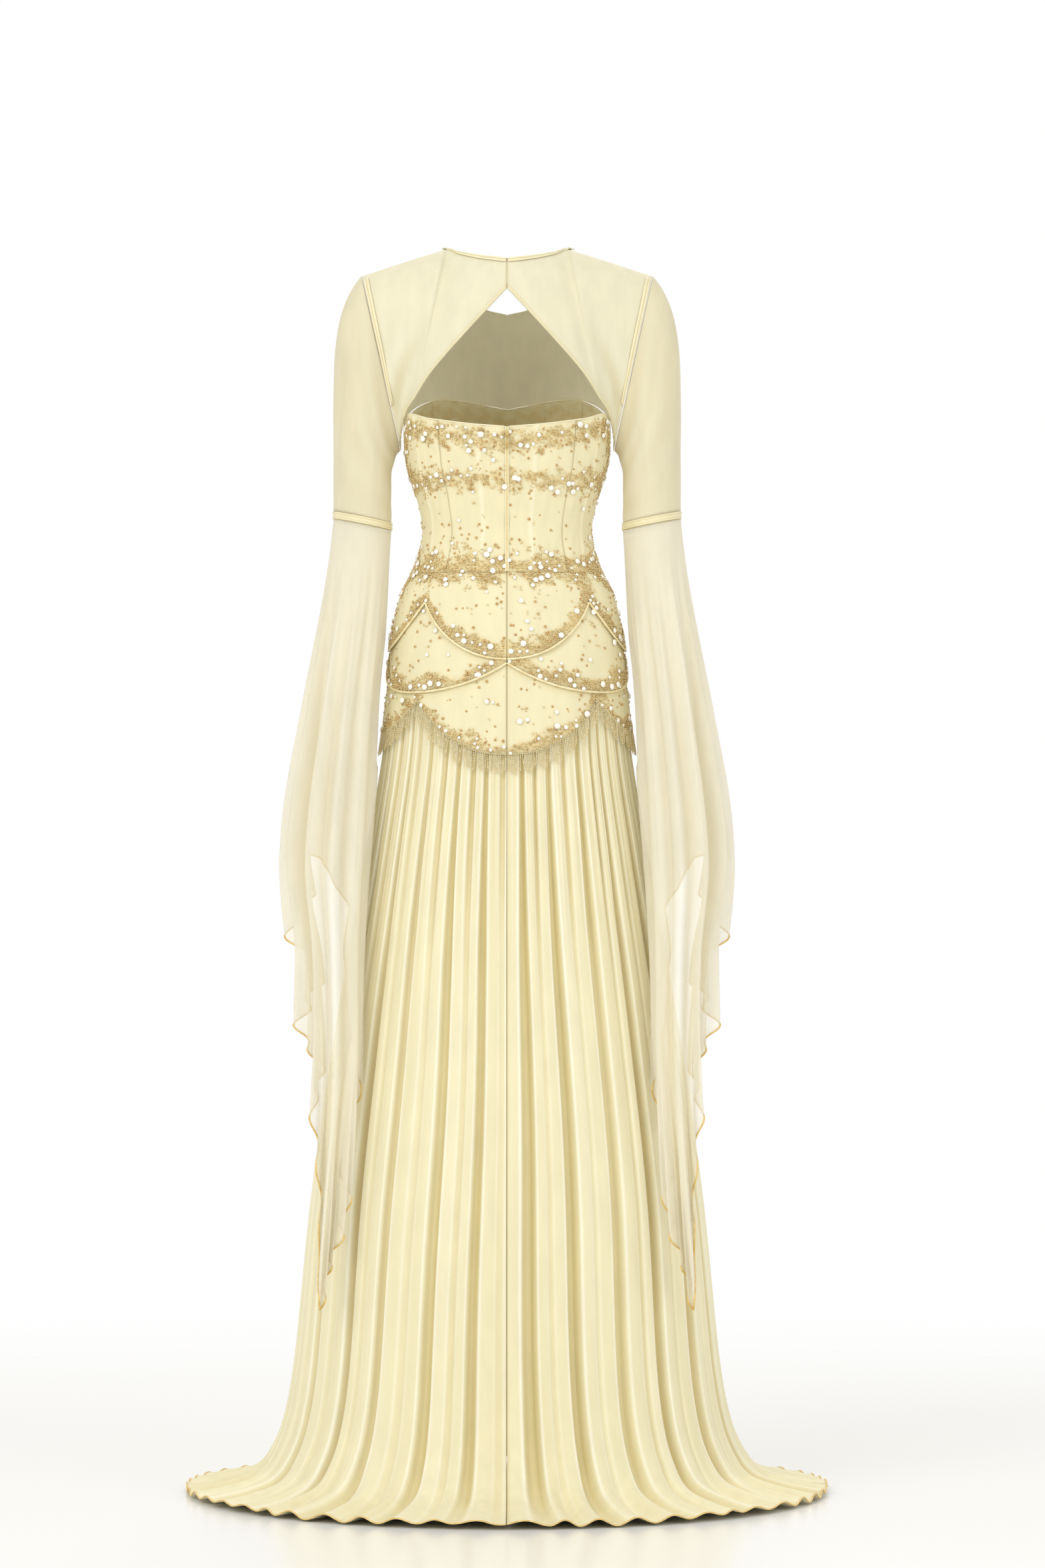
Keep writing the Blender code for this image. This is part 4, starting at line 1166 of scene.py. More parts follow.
@dataclass
class Fringe:
    """Strings of seed beads that hang from the third tier's edge."""

    looks: Finishes
    beads: Beads
    spacing: float = 0.0023
    longest: float = 0.0285
    beads_a_string: int = 10
    bead_radius: float = 0.00078
    clump: float = 0.019

    def build(self) -> None:
        """Makes the strings of each panel, clumped into small fans."""
        tier = TIERS[2]
        for number, (ending, start, end) in enumerate(PANELS):
            count = round((end - start) * 0.165 / self.spacing)
            random = np.random.default_rng(300 + number)
            share = (np.arange(count) + 0.5) / count
            angle = panel_angle(start, end, share)
            arc = angle * 0.165
            phase = arc / self.clump - np.floor(arc / self.clump)
            fan = phase - 0.5
            long = self.longest * (0.70 + 0.24 * np.cos(fan * TURN * 0.5) + random.uniform(-0.1, 0.06, count))
            lean = fan * -0.0035 + random.uniform(-0.0008, 0.0008, count)
            steps = (np.arange(self.beads_a_string) + 0.5) / self.beads_a_string
            at = angle[:, None] + (lean[:, None] / 0.165) * steps[None, :] ** 1.5
            top = tier.edge(angle)[:, None] + 0.0012
            height = top - long[:, None] * steps[None, :]
            lift = tier.inset + 0.0012 + 0.0012 * steps[None, :] + random.uniform(-3e-4, 3e-4, (count, 1))
            centres = PATTERN.on_figure(at, height, lift).reshape(-1, 3)
            normals = unit(np.broadcast_to(UP, centres.shape) + 0.0)
            radii = self.bead_radius * random.uniform(0.8, 1.15, len(centres))
            stretch = self.longest / self.beads_a_string / (2 * self.bead_radius) * 0.92
            self.beads.lay(
                f"fringe_{ending}_strings", "seed", centres, normals, radii, stretch,
                self.looks.string, "bead_trim", (f"fringe_{ending}",),
            )


# Skirt

@dataclass
class Skirt:
    """The pleated skirt: two back panels and a front, with a rolled hem."""

    looks: Finishes
    rings: tuple = (
        (1.0360, 0.1515, 0.1150, 0.0905, 2.15, 0.0030),
        (0.9350, 0.1630, 0.1230, 0.1000, 2.10, 0.0070),
        (0.8000, 0.1870, 0.1580, 0.1300, 2.00, 0.0110),
        (0.6000, 0.2210, 0.2000, 0.1640, 2.00, 0.0140),
        (0.3800, 0.2530, 0.2420, 0.1920, 2.00, 0.0160),
        (0.1400, 0.2790, 0.2700, 0.2200, 2.00, 0.0180),
        (0.0480, 0.3100, 0.3050, 0.2480, 2.00, 0.0200),
        (0.0220, 0.3560, 0.3600, 0.2860, 2.00, 0.0190),
        (0.0205, 0.4130, 0.4300, 0.3320, 2.00, 0.0180),
    )
    pleats_per_quarter: int = 13
    crease_place: float = 0.80
    sways: tuple[tuple[int, float], ...] = ((3, 0.011), (5, 0.006))
    crease_half: float = 0.105
    columns_per_pleat: int = 18
    rows: int = 88
    hem_radius: float = 0.0010

    def sweep(self, angle: Array, row: Array) -> Array:
        """Points of the skirt's outer sweep at rows, which may lie between rings."""
        values = through(np.arange(len(self.rings)), np.array(self.rings), row)
        return on_oval(values[..., 1:5], angle, values[..., 0])

    def out(self, angle: Array, row: Array) -> Array:
        """Outward directions of the sweep."""
        last = len(self.rings) - 1.0
        above = self.sweep(angle, np.maximum(row - 0.2, 0.0))
        below = self.sweep(angle, np.minimum(row + 0.2, last))
        across = self.sweep(angle + 0.01, row) - self.sweep(angle - 0.01, row)
        return unit(np.cross(across, above - below))

    def creases(self, pleats: int) -> Array:
        """Where the creases stand across a panel, as shares of it, one beyond each end."""
        quarters = pleats / self.pleats_per_quarter
        even = quarters * (np.arange(-1, pleats + 1) + self.crease_place) / pleats
        sway = sum(reach * np.sin(TURN * turns * even) for turns, reach in self.sways)
        return (even + sway) / quarters

    def profile(self, u: Array, row: Array, start: float, end: float) -> tuple[Array, Array, Array]:
        """The pleats' form.

        Args:
            u: Share across the panel.
            row: Row of the sweep.
            start: First angle of the panel.
            end: Last angle of the panel.

        Returns:
            The angle, how far the cloth is sunk, and its fold mark: painted shade in the creases, slots and
            gathers, painted highlight lines along the fold edges, and random streaks of tone.
        """
        pleats = round(self.pleats_per_quarter * (end - start) / QUARTER)
        creases = self.creases(pleats)
        along_pleats = np.interp(u, creases, np.arange(-1, pleats + 1))
        nearest = np.round(along_pleats)
        away = along_pleats - nearest
        first = round(start / QUARTER) * self.pleats_per_quarter
        all_round = 4 * self.pleats_per_quarter
        order, place_round = ((nearest + first) / all_round, (along_pleats + first) / all_round)

        def wave(turns: int, at: Array = order) -> Array:
            return np.sin(TURN * turns * at)

        values = through(np.arange(len(self.rings)), np.array(self.rings), row)
        depth, height = values[..., 5], values[..., 0]
        fine = ease(0.60, 0.98, height)
        every_other = 0.5 + 0.5 * np.cos(TURN * all_round / 2 * order + 0.9 * wave(3))
        strong = np.clip(every_other + 0.85 * fine + 0.10 * wave(11), 0.08, 1.0)
        half = self.crease_half * (0.55 + 0.95 * strong + 0.25 * wave(27)) * (1 - 0.35 * fine)
        crease = 1 - ease(half, 2.1 * half, np.abs(away))
        slot = np.exp(-(((away - 0.75 * half) / (0.5 * self.crease_half)) ** 2))
        roll = (1 - np.abs(2 * away)) ** 2
        gather = np.sin(TURN * (2.5 * all_round * place_round + 0.25 * wave(19)) + 1.3 * height)
        low, rim = ease(5.6, 7.4, row), ease(7.1, 8.0, row)
        sunk = strong * (0.66 * crease + 0.16 * slot) + 0.14 * roll + 0.10 * fine * (1 + gather)
        ruffle = 0.5 + 0.5 * np.cos(TURN * along_pleats + 0.6 * wave(11, place_round))
        ruffle = ruffle * (0.66 + 0.22 * wave(7, place_round)) + 0.06
        sunk = sunk * (1 - low) + (ruffle * (1 - 0.45 * rim) + 0.45 * rim) * low
        sunk = np.clip(sunk, 0.0, 1.0)
        # Painted highlight: a narrow light line along the edge of each fold.
        line = np.exp(-(((np.abs(away) - 2.2 * half) / 0.045) ** 2))
        across, beyond = np.sin(TURN * place_round), np.cos(TURN * place_round)
        streak = cloudy(5 * across + 0.35 * height, 5 * beyond, 0.55, 33, 5)
        # Painted shade in the creases, slots, rolls and gathers, less the painted highlight line; the streaks
        # are random tone.
        mark = strong * (0.62 * crease + 0.38 * slot) - 0.95 * line * (0.35 + 0.65 * strong)
        mark = (mark + 0.10 * roll + 0.16 * fine * gather) * (1 - 0.5 * low) + 0.09 * streak
        arc = (start + (end - start) * u) * 0.2
        sway = 0.0030 * cloudy(arc * 0.6, height * 0.22, 0.10, 31, 5)
        sway = sway * np.sin(math.pi * np.clip(u, 0, 1)) ** 0.5 * ease(0.2, 1.5, row)
        angle = panel_angle(start, end, u) + sway / 0.2
        return angle, sunk * depth, np.clip(mark, -1, 1)

    def panel(self, start: float, end: float) -> tuple[Surface, dict[str, Surface]]:
        """A panel's surface and its marks."""
        last = len(self.rings) - 1

        def surface(u: Array, v: Array) -> Array:
            row = (1 - v) * last
            angle, sunk, _ = self.profile(u, row, start, end)
            return self.sweep(angle, row) - self.out(angle, row) * sunk[..., None]

        def fold(u: Array, v: Array) -> Array:
            row = (1 - v) * last
            mark = self.profile(u, row, start, end)[2]
            # Painted shade along the centre-back seam.
            seam = bump((panel_angle(start, end, u) % TURN) * 0.2, 0.0, 0.003)
            return np.clip(mark + 0.7 * seam, -1, 1)

        return surface, {"fold": fold, "work": lambda u, v: np.zeros_like(u)}

    def build(self) -> None:
        """Makes the panels and the rolled hem."""
        for ending, start, end in PANELS:
            surface, marks = self.panel(start, end)
            pleats = round(self.pleats_per_quarter * (end - start) / QUARTER)
            node = f"skirt_{ending}"
            Sheet(
                f"{node}_cloth", pleats * self.columns_per_pleat, self.rows, surface,
                self.looks.chiffon, "pleated_chiffon", (node,), Held.GATHERED, upright_axis,
                marks=marks, thickness=0.0008,
            ).build()
            u = np.linspace(0, 1, pleats * self.columns_per_pleat * 2)
            points = surface(u, np.full_like(u, 0.0012))
            points[:, 2] = np.maximum(points[:, 2], -SHOULDER_HEIGHT + 1.1 * self.hem_radius)
            hem = tube(f"skirt_hem_{ending}", points, self.hem_radius, self.looks.thread, sides=1)
            dress_piece(hem, "gold_piping")


# Yoke and its bindings

@dataclass
class Yoke:
    """Sheer yoke with a keyhole back, and the bindings of its edges."""

    looks: Finishes
    keyhole: tuple = (
        (0.0000, -0.0840, 1.544), (0.0510, -0.0980, 1.488),
        (0.0940, -0.0950, 1.439), (0.1170, -0.0740, 1.405),
    )
    keyhole_degrees: tuple = (64, 77, 88)
    front_degrees: tuple = (180, 166, 152, 137, 121, 106, 92)
    back_neck: tuple = ((0.0, -0.0620, 1.584), (0.0300, -0.0520, 1.588), (0.0580, -0.0300, 1.594))
    front_neck: tuple = ((0.0, 0.0600, 1.520), (0.0340, 0.0560, 1.530), (0.0620, 0.0360, 1.560))
    shoulder_reach: tuple = (0.080, 0.115, 0.150, 0.187)
    underarm: tuple = (0.1370, 0.0, 1.341)
    armhole_depth: float = 0.056
    ridge_top: float = 1.616
    ridge_slope: float = 0.34
    ridge_round: float = 0.045
    blade_height: float = 1.420
    blade_back: float = 0.105
    blade_front: float = 0.100
    blade_width: float = 0.205
    lift: float = 0.0020
    binding_width: float = 0.0072
    welt: float = 0.0008

    def ridge(self, reach: Array) -> Array:
        """Height of the shoulder line at a distance from the centre."""
        run = np.hypot(reach, self.ridge_round) - self.ridge_round
        return self.ridge_top - self.ridge_slope * run

    def blade(self, x: Array, height: Array, forward: bool) -> Array:
        """y of the rounded upper back or chest."""
        rise = np.maximum(0.0, height - self.blade_height) / (self.ridge(x) - self.blade_height)
        reach = np.minimum(1.0, np.abs(x) / self.blade_width)
        across = (1 - reach**2.6) ** (1 / 2.6)
        depth = across * np.sqrt(np.maximum(0.0, 1 - np.minimum(1.0, rise) ** 2))
        return self.blade_front * depth if forward else -self.blade_back * depth

    def armhole(self, share: Array, forward: Array) -> Array:
        """Points on the armhole by share of its height; heights above the floor."""
        tip = self.ridge(self.shoulder_reach[-1])
        x = self.underarm[0] + (self.shoulder_reach[-1] - self.underarm[0]) * share
        height = self.underarm[2] + (tip - self.underarm[2]) * share
        turn = np.arccos(np.clip(2 * share - 1, -1.0, 1.0))
        depth = self.armhole_depth * np.sin(turn) * (0.8 + 0.2 * np.cos(turn))
        depth = depth + SEAM_GAP + 0.003 * (1 - share)
        return np.stack(np.broadcast_arrays(x, np.where(forward, depth, -depth), height), -1)

    def edges(self, forward: bool) -> tuple[Array, Array]:
        """Lower and upper edge points of the right half."""
        degrees = np.radians(self.front_degrees if forward else self.keyhole_degrees)
        on_bodice = PATTERN.on_figure(degrees, PATTERN.bodice_top(degrees) + 0.0008, self.lift)
        on_bodice = on_bodice + UP * SHOULDER_HEIGHT
        low = on_bodice if forward else np.vstack([np.array(self.keyhole), on_bodice])
        apart = SEAM_GAP if forward else -SEAM_GAP
        shoulder = [(reach, apart, float(self.ridge(reach))) for reach in self.shoulder_reach]
        high = np.vstack([np.array(self.front_neck if forward else self.back_neck), shoulder])
        return low, high

    def from_blade(self, points: Array, forward: bool) -> Array:
        """Points with y taken from the blade instead of from the origin."""
        moved = points.copy()
        moved[..., 1] -= self.blade(points[..., 0], points[..., 2], forward)
        return moved

    def surface(self, forward: bool) -> Surface:
        """The outer face: s outwards (signed on the front), t up to the shoulder."""
        low_edge, high_edge = self.edges(forward)
        low_end = self.from_blade(low_edge[-1:], forward)[0]
        high_end = self.from_blade(high_edge[-1:], forward)[0]

        def at(s: Array, t: Array) -> Array:
            s, t = np.broadcast_arrays(np.asarray(s, float), np.asarray(t, float))
            inward = np.minimum(np.abs(s), 1.0)
            low = self.from_blade(along(low_edge, inward), forward)
            high = along(high_edge, inward)
            high[..., 1] = (
                np.maximum(high[..., 1], SEAM_GAP) if forward else np.minimum(high[..., 1], -SEAM_GAP)
            )
            high = self.from_blade(high, forward)
            hole = self.from_blade(self.armhole(np.clip(t, 0, 1), forward), forward)
            rise = t[..., None]
            point = low + (high - low) * rise
            point = point + (hole - (low_end + (high_end - low_end) * rise)) * inward[..., None] ** 3
            height = np.minimum(point[..., 2], self.ridge(point[..., 0]))
            y = point[..., 1] + self.blade(point[..., 0], height, forward)
            return place(np.where(s < 0, -1.0, 1.0) * point[..., 0], y, height)

        return at

    @staticmethod
    def outward(surface: Surface, s: Array, t: Array, forward: bool) -> Array:
        """Directions out of the yoke, away from the chest."""
        square = normals_of(surface, s, np.clip(t, 0, 1), 0.004)
        away = np.zeros(square.shape) + np.array([0.5, 1.0 if forward else -1.0, 0.3])
        away[..., 0] = np.copysign(0.5, s)
        sign = np.where(np.sum(square * away, axis=-1) < 0, -1.0, 1.0)
        return square * sign[..., None]

    def cloth(self, forward: bool, reach: tuple[float, float]) -> tuple[Surface, dict[str, Surface]]:
        """A yoke piece with soft creases towards the underarm, and its marks."""
        base = self.surface(forward)

        def crease(s: Array, t: Array) -> Array:
            near = ease(0.45, 0.85, np.abs(s)) * (1 - ease(0.93, 1.0, np.abs(s)))
            fade = bump(t, 0.30, 0.36)
            return near * fade * np.sin(TURN * (2.2 * t + 1.4 * np.abs(s)))

        def surface(u: Array, v: Array) -> Array:
            s = reach[0] + (reach[1] - reach[0]) * u
            t = 1 - (1 - v) ** 1.5
            return base(s, t) + self.outward(base, s, t, forward) * (0.0016 * crease(s, t))[..., None]

        def fold(u: Array, v: Array) -> Array:
            s = reach[0] + (reach[1] - reach[0]) * u
            t = 1 - (1 - v) ** 1.5
            # Fold mark: painted shade and painted highlight following the creases, and painted shade along
            # the centre back of the back pieces.
            middle = bump(np.abs(s) * 0.15, 0.0, 0.0022) if not forward else 0.0
            return np.clip(0.15 - 0.45 * crease(s, t) + 0.7 * middle, -1, 1)

        return surface, {"fold": fold, "work": lambda u, v: np.zeros_like(u)}

    def strip(self, forward_of: Callable, track: Callable, side: Side, lift: float) -> tuple:
        """A double-welted binding along a track of the yoke's edge.

        Args:
            forward_of: Tells for each share whether the track is on the front.
            track: Gives s, t and the two inward steps for each share.
            side: The side of the dress.
            lift: How far it lies off the yoke.

        Returns:
            The strip's surface and its marks.
        """
        faces = {flag: self.surface(flag) for flag in (False, True)}

        def step_width(surface: Surface, s: Array, t: Array, along_t: bool) -> Array:
            step = 0.01
            if along_t:
                moved = np.where((t < 0.5)[..., None], surface(s, t + step), surface(s, t - step))
            else:
                moved = surface(s - step, t)
            return step / np.maximum(1e-6, np.linalg.norm(moved - surface(s, t), axis=-1))

        def surface(u: Array, v: Array) -> Array:
            s, t, in_s, in_t = track(u)
            width = self.binding_width * v
            found = np.zeros(u.shape + (3,))
            for flag, face in faces.items():
                s_at = s - in_s * width * step_width(face, s, t, False)
                t_at = t + in_t * width * step_width(face, s, t, True)
                welts = self.welt * np.abs(np.sin(TURN * v)) ** 0.6
                hem = 0.0004 * np.sin(math.pi * v)
                out = self.outward(face, s_at, np.clip(t_at, 0, 1), flag)
                points = face(s_at, t_at) + out * (lift + welts + hem)[..., None]
                chosen = forward_of(u) if flag else ~forward_of(u)
                found = np.where(chosen[..., None], points, found)
            return found * np.array([side.sign, 1.0, 1.0])

        def fold(u: Array, v: Array) -> Array:
            # Painted shade in the groove between the welts and along one edge; the rest leans a little to the
            # painted highlight.
            groove = np.exp(-(((v - 0.5) / 0.09) ** 2)) + np.exp(-((v / 0.05) ** 2))
            return np.clip(0.9 * groove - 0.15, -1, 1)

        return surface, {"fold": fold, "work": lambda u, v: np.zeros_like(u)}

    def build(self) -> None:
        """Makes the yoke's pieces and the bindings."""
        first = SEAM_GAP / 2 / 0.30
        back, marks = self.cloth(False, (first, 1.0))
        for side in Side:
            Sheet(
                f"yoke_back_{side.word}_cloth", 72, 56, mirrored(back, side), self.looks.yoke,
                "sheer_chiffon", (f"yoke_back_{side.word}",), Held.STRETCHED, chest_middle,
                marks=marks,
            ).build()
        front, marks = self.cloth(True, (-1.0, 1.0))
        Sheet(
            "yoke_front_cloth", 120, 48, front, self.looks.yoke, "sheer_chiffon",
            ("yoke_front",), Held.STRETCHED, chest_middle, marks=marks,
        ).build()
        self.build_bindings()

    def build_bindings(self) -> None:
        """The bindings of the keyhole, the armholes and the neck."""
        def on_back(u: Array) -> Array:
            return np.zeros(u.shape, bool)

        def keyhole(u: Array) -> tuple:
            return 0.003 + 0.93 * u, np.full_like(u, 0.001), np.zeros_like(u), np.ones_like(u)

        def armhole(u: Array) -> tuple:
            return np.full_like(u, 0.997), 0.24 + 0.73 * u, np.ones_like(u), np.zeros_like(u)

        def neck(u: Array) -> tuple:
            turn = 2 * u - 1
            forward = np.abs(turn) <= 0.5
            s = np.where(forward, turn, np.sign(turn) * (1 - np.abs(turn)))
            s = np.where(forward, s, s + np.sign(turn) * 0.004 * (2 * np.abs(turn) - 1))
            ridge = (np.abs(s) / 0.5) ** 5
            return s, np.full_like(u, 0.997), -np.sign(s) * ridge, ridge - 1

        for side in Side:
            for name, track, lift in (
                ("keyhole_binding", keyhole, 0.0010), ("armhole_binding", armhole, 0.0014),
            ):
                surface, marks = self.strip(on_back, track, side, lift)
                node = f"{name}_{side.word}"
                Sheet(
                    f"{node}_strip", 150, 10, surface, self.looks.satin, "satin_binding",
                    (node,), Held.STRETCHED, chest_middle, marks=marks,
                ).build()
        surface, marks = self.strip(lambda u: np.abs(2 * u - 1) <= 0.5, neck, Side.RIGHT, 0.0018)
        Sheet(
            "neck_binding_strip", 220, 10, surface, self.looks.satin, "satin_binding",
            ("neck_binding",), Held.STRETCHED, chest_middle, marks=marks,
        ).build()


def chest_middle(points: Array) -> Array:
    """The middle of the chest, for every point."""
    return np.broadcast_to(np.array([0.0, 0.0, -0.14]), points.shape)


# Sleeves

@dataclass
class Sleeves:
    """Fitted upper sleeves, elbow bands and flared lower sleeves."""

    looks: Finishes
    yoke: Yoke
    skirt: Skirt
    elbow: tuple = (0.1863, -0.015, 1.2545)
    half_width: float = 0.0373
    half_depth: float = 0.042
    tilt: float = 0.0075
    armhole_gap: float = 0.0012
    head_power: int = 7
    band_drop: float = 0.010
    clearance: float = 0.008
    drape: tuple = (
        (0.00, 0.1863, -0.015, 0.0373, 0.042),
        (0.10, 0.1950, -0.022, 0.0390, 0.053),
        (0.25, 0.2115, -0.040, 0.0415, 0.068),
        (0.43, 0.2265, -0.068, 0.0470, 0.084),
        (0.55, 0.2220, -0.096, 0.0360, 0.080),
        (0.68, 0.2200, -0.126, 0.0330, 0.064),
        (0.80, 0.2260, -0.146, 0.0300, 0.052),
        (1.00, 0.2400, -0.178, 0.0250, 0.040),
    )
    folds: tuple = (
        (35, 0.430, 0.018), (20, 0.478, -0.015), (4, 0.529, 0.018), (-12, 0.588, -0.014),
        (-28, 0.649, 0.015), (-45, 0.700, -0.012), (-62, 0.760, 0.012), (-80, 0.880, -0.008),
        (-98, 0.990, 0.008), (-118, 0.950, -0.007), (-138, 0.880, 0.008), (-160, 0.780, -0.007),
        (-184, 0.690, 0.008), (-212, 0.590, -0.008), (-244, 0.500, 0.010), (-282, 0.440, -0.010),
    )
    columns: int = 288
    rows: int = 84
    hem_radius: float = 0.0012

    def ring(self, turn: Array, drop: Array, spread: Array = 0.0) -> Array:
        """Points on the ring at the elbow, at drops below it."""
        x, y, height = self.elbow
        return place(
            x + (self.half_width + spread) * np.cos(turn),
            y + (self.half_depth + spread) * np.sin(turn),
            height + self.tilt * np.cos(turn) - drop,
        )

    def upper(self, u: Array, v: Array) -> Array:
        """Outer face of the right upper sleeve."""
        turn = TURN * u
        start = self.yoke.armhole((1 + np.cos(turn)) / 2, np.sin(turn) > 0)
        start = start + np.array([self.armhole_gap, 0.0, -SHOULDER_HEIGHT])
        end = self.ring(turn, 0.0)
        down = np.clip(v, 0, 1) ** 1.5
        spread = 1 - (1 - down) ** self.head_power
        share = np.stack([spread, spread, down], axis=-1)
        return start + (end - start) * share

    def upper_creases(self, u: Array, v: Array) -> Array:
        """Soft creases of the upper sleeve, from the armhole and above the elbow."""
        turn = TURN * u
        inner = 0.5 - 0.5 * np.cos(turn)
        fade = np.sin(math.pi * np.clip(v, 0, 1)) ** 0.8
        near_arm = np.exp(-v / 0.35) * inner * np.sin(TURN * (3.1 * v + 0.9 * np.cos(turn - 0.6)))
        near_elbow = np.exp(-(1 - v) / 0.22) * np.sin(TURN * (4.6 * v + 0.45 * np.sin(turn)))
        long = 0.5 * np.sin(3 * turn + 2.2 * v) * bump(v, 0.55, 0.5)
        return fade * (near_arm + 0.45 * near_elbow + 0.6 * long)

    def arm_middle(self, points: Array) -> Array:
        """The arm's axis, level with points on the right sleeve."""
        x, y, height = self.elbow
        share = np.clip((points[:, 2] + SHOULDER_HEIGHT - height) / 0.30, 0, 1)
        return np.stack([x - 0.022 * share, y + 0.015 * share, points[:, 2]], axis=-1)

    def fold_at(self, u: Array, column: int) -> Array:
        """A column of the fold table at u round the sleeve, on a smooth closed curve."""
        count = len(self.folds)
        table = np.array(self.folds)[:, column]
        at = np.asarray(u) * count
        first = np.floor(at).astype(int)
        t = at - first
        wrap = -360.0 if column == 0 else 0.0
        before, here, after, beyond = (
            table[(first + k) % count] + wrap * ((first + k) // count) for k in (-1, 0, 1, 2)
        )
        return (
            here * (2 * t**3 - 3 * t**2 + 1) + after * (3 * t**2 - 2 * t**3)
            + (after - before) / 2 * (t**3 - 2 * t**2 + t) + (beyond - here) / 2 * (t**3 - t**2)
        )

    def clear_of_skirt(self, x: Array, y: Array, height: Array) -> tuple[Array, Array]:
        """x and y moved straight out until they clear the skirt."""
        rings = np.array(self.skirt.rings)[::-1]
        on_skirt = np.stack(
            [np.interp(height, rings[:, 0], rings[:, column]) for column in (1, 2, 3, 4)], -1)
        high = (height > self.skirt.rings[1][0])[..., None]
        values = np.where(high, PATTERN.section(height), on_skirt)
        half_width = values[..., 0] + self.clearance
        depth = np.where(y > 0, values[..., 2], values[..., 1]) + self.clearance
        power = values[..., 3]
        inside = (np.abs(x) / half_width) ** power + (np.abs(y) / depth) ** power
        grow = np.where(inside < 1, np.maximum(inside, 1e-6) ** (-1 / power), 1.0)
        return x * grow, y * grow

    def lower(self, u: Array, v: Array) -> Array:
        """Outer face of the right lower sleeve."""
        turn = np.radians(self.fold_at(u, 0))
        drop = self.fold_at(u, 1) * v
        stand = self.fold_at(u, 2) * ease(0.0, 0.38, drop)
        frill = 0.0085 * np.sin(TURN * 25 * u + 0.8 * np.sin(TURN * 5 * u)) * ease(0.70, 1.0, v) ** 1.5
        soft = 0.0009 * np.sin(TURN * 19 * u + 2.0 * drop) * ease(0.02, 0.16, drop)
        stand = stand + frill + soft
        rows = np.array(self.drape)
        reach, depth, half_width, half_depth = np.moveaxis(through(rows[:, 0], rows[:, 1:], drop), -1, 0)
        height = self.elbow[2] + self.tilt * np.cos(turn) - self.band_drop - SEAM_GAP - drop
        x = reach + (half_width + stand) * np.cos(turn)
        y = depth + (half_depth + stand) * np.sin(turn)
        x, y = self.clear_of_skirt(x, y, height)
        return place(x, y, height)

    def lower_fold(self, u: Array, v: Array) -> Array:
        """Fold mark of the lower sleeve: painted highlight on its crests, painted shade in its troughs."""
        stand = self.fold_at(u, 2) / 0.018
        drop = self.fold_at(u, 1) * v
        soft = np.sin(TURN * 19 * u + 2.0 * drop) * ease(0.02, 0.16, drop)
        return np.clip(-0.6 * stand * ease(0.03, 0.4, drop) - 0.04 * soft + 0.05, -1, 1)

    def lower_middle(self, points: Array) -> Array:
        """The middle of the lower sleeve, level with points on the right one."""
        rows = np.array(self.drape)
        drop = np.maximum(0.0, self.elbow[2] - self.band_drop - points[:, 2] - SHOULDER_HEIGHT)
        middle = through(rows[:, 0], rows[:, 1:3], drop)
        return np.column_stack([middle, points[:, 2]])

    def build(self) -> None:
        """Makes both sleeves."""
        for side in Side:
            flip = np.array([side.sign, 1.0, 1.0])
            self.build_upper(side, flip)
            self.build_band(side, flip)
            self.build_lower(side, flip)

    def build_upper(self, side: Side, flip: Array) -> None:
        """Makes one upper sleeve."""
        def surface(u: Array, v: Array) -> Array:
            out = normals_of(self.upper, u, v, 0.004)
            away = self.upper(u, v) - self.arm_middle(self.upper(u, v).reshape(-1, 3)).reshape(u.shape + (3,))
            sign = np.where(np.sum(out * away, -1) < 0, -1.0, 1.0)[..., None]
            return (self.upper(u, v) + out * sign * (0.0017 * self.upper_creases(u, v))[..., None]) * flip

        node = f"upper_sleeve_{side.word}"
        Sheet(
            f"{node}_cloth", 96, 72, surface, self.looks.sleeve, "sheer_chiffon", (node,),
            Held.STRETCHED, lambda points: self.arm_middle(points * flip) * flip, joined=True,
            marks={
                # Fold mark: painted shade and painted highlight following the creases.
                "fold": lambda u, v: np.clip(0.15 - 0.5 * self.upper_creases(u, v), -1, 1),
                "work": lambda u, v: np.zeros_like(u),
            },
        ).build()

    def build_band(self, side: Side, flip: Array) -> None:
        """Makes one elbow band, with a rounded welt at each edge."""
        def surface(u: Array, v: Array) -> Array:
            drop = SEAM_GAP + (self.band_drop - 2 * SEAM_GAP) * v
            welt = 0.0007 * np.maximum(bump(v, 0.12, 0.14), bump(v, 0.88, 0.14))
            return self.ring(TURN * u, drop, 0.0008 + welt + 0.0003 * np.sin(math.pi * v)) * flip

        node = f"elbow_band_{side.word}"
        Sheet(
            f"{node}_cloth", 96, 16, surface, self.looks.satin, "satin_binding", (node,),
            Held.STRETCHED, lambda points: self.arm_middle(points * flip) * flip, joined=True,
            marks={
                # Painted shade in the grooves inside the two welts.
                "fold": lambda u, v: np.clip(bump(v, 0.27, 0.06) + bump(v, 0.73, 0.06), 0, 1) * 0.7,
                "work": lambda u, v: np.zeros_like(u),
            },
        ).build()

    def build_lower(self, side: Side, flip: Array) -> None:
        """Makes one lower sleeve and its rolled hem."""
        def surface(u: Array, v: Array) -> Array:
            return self.lower(u, v) * flip

        node = f"lower_sleeve_{side.word}"
        Sheet(
            f"{node}_cloth", self.columns, self.rows, surface, self.looks.flare, "sheer_chiffon",
            (node,), Held.HUNG, lambda points: self.lower_middle(points * flip) * flip,
            joined=True, thickness=0.0005, widest=78.0,
            marks={"fold": self.lower_fold, "work": lambda u, v: np.zeros_like(u)},
        ).build()
        u = np.linspace(0, 1, 2 * self.columns, endpoint=False)
        hem = tube(
            f"sleeve_hem_{side.word}", surface(u, np.full_like(u, 0.9995)), self.hem_radius,
            self.looks.thread, sides=1, cyclic=True,
        )
        dress_piece(hem, "gold_piping")


# Zip

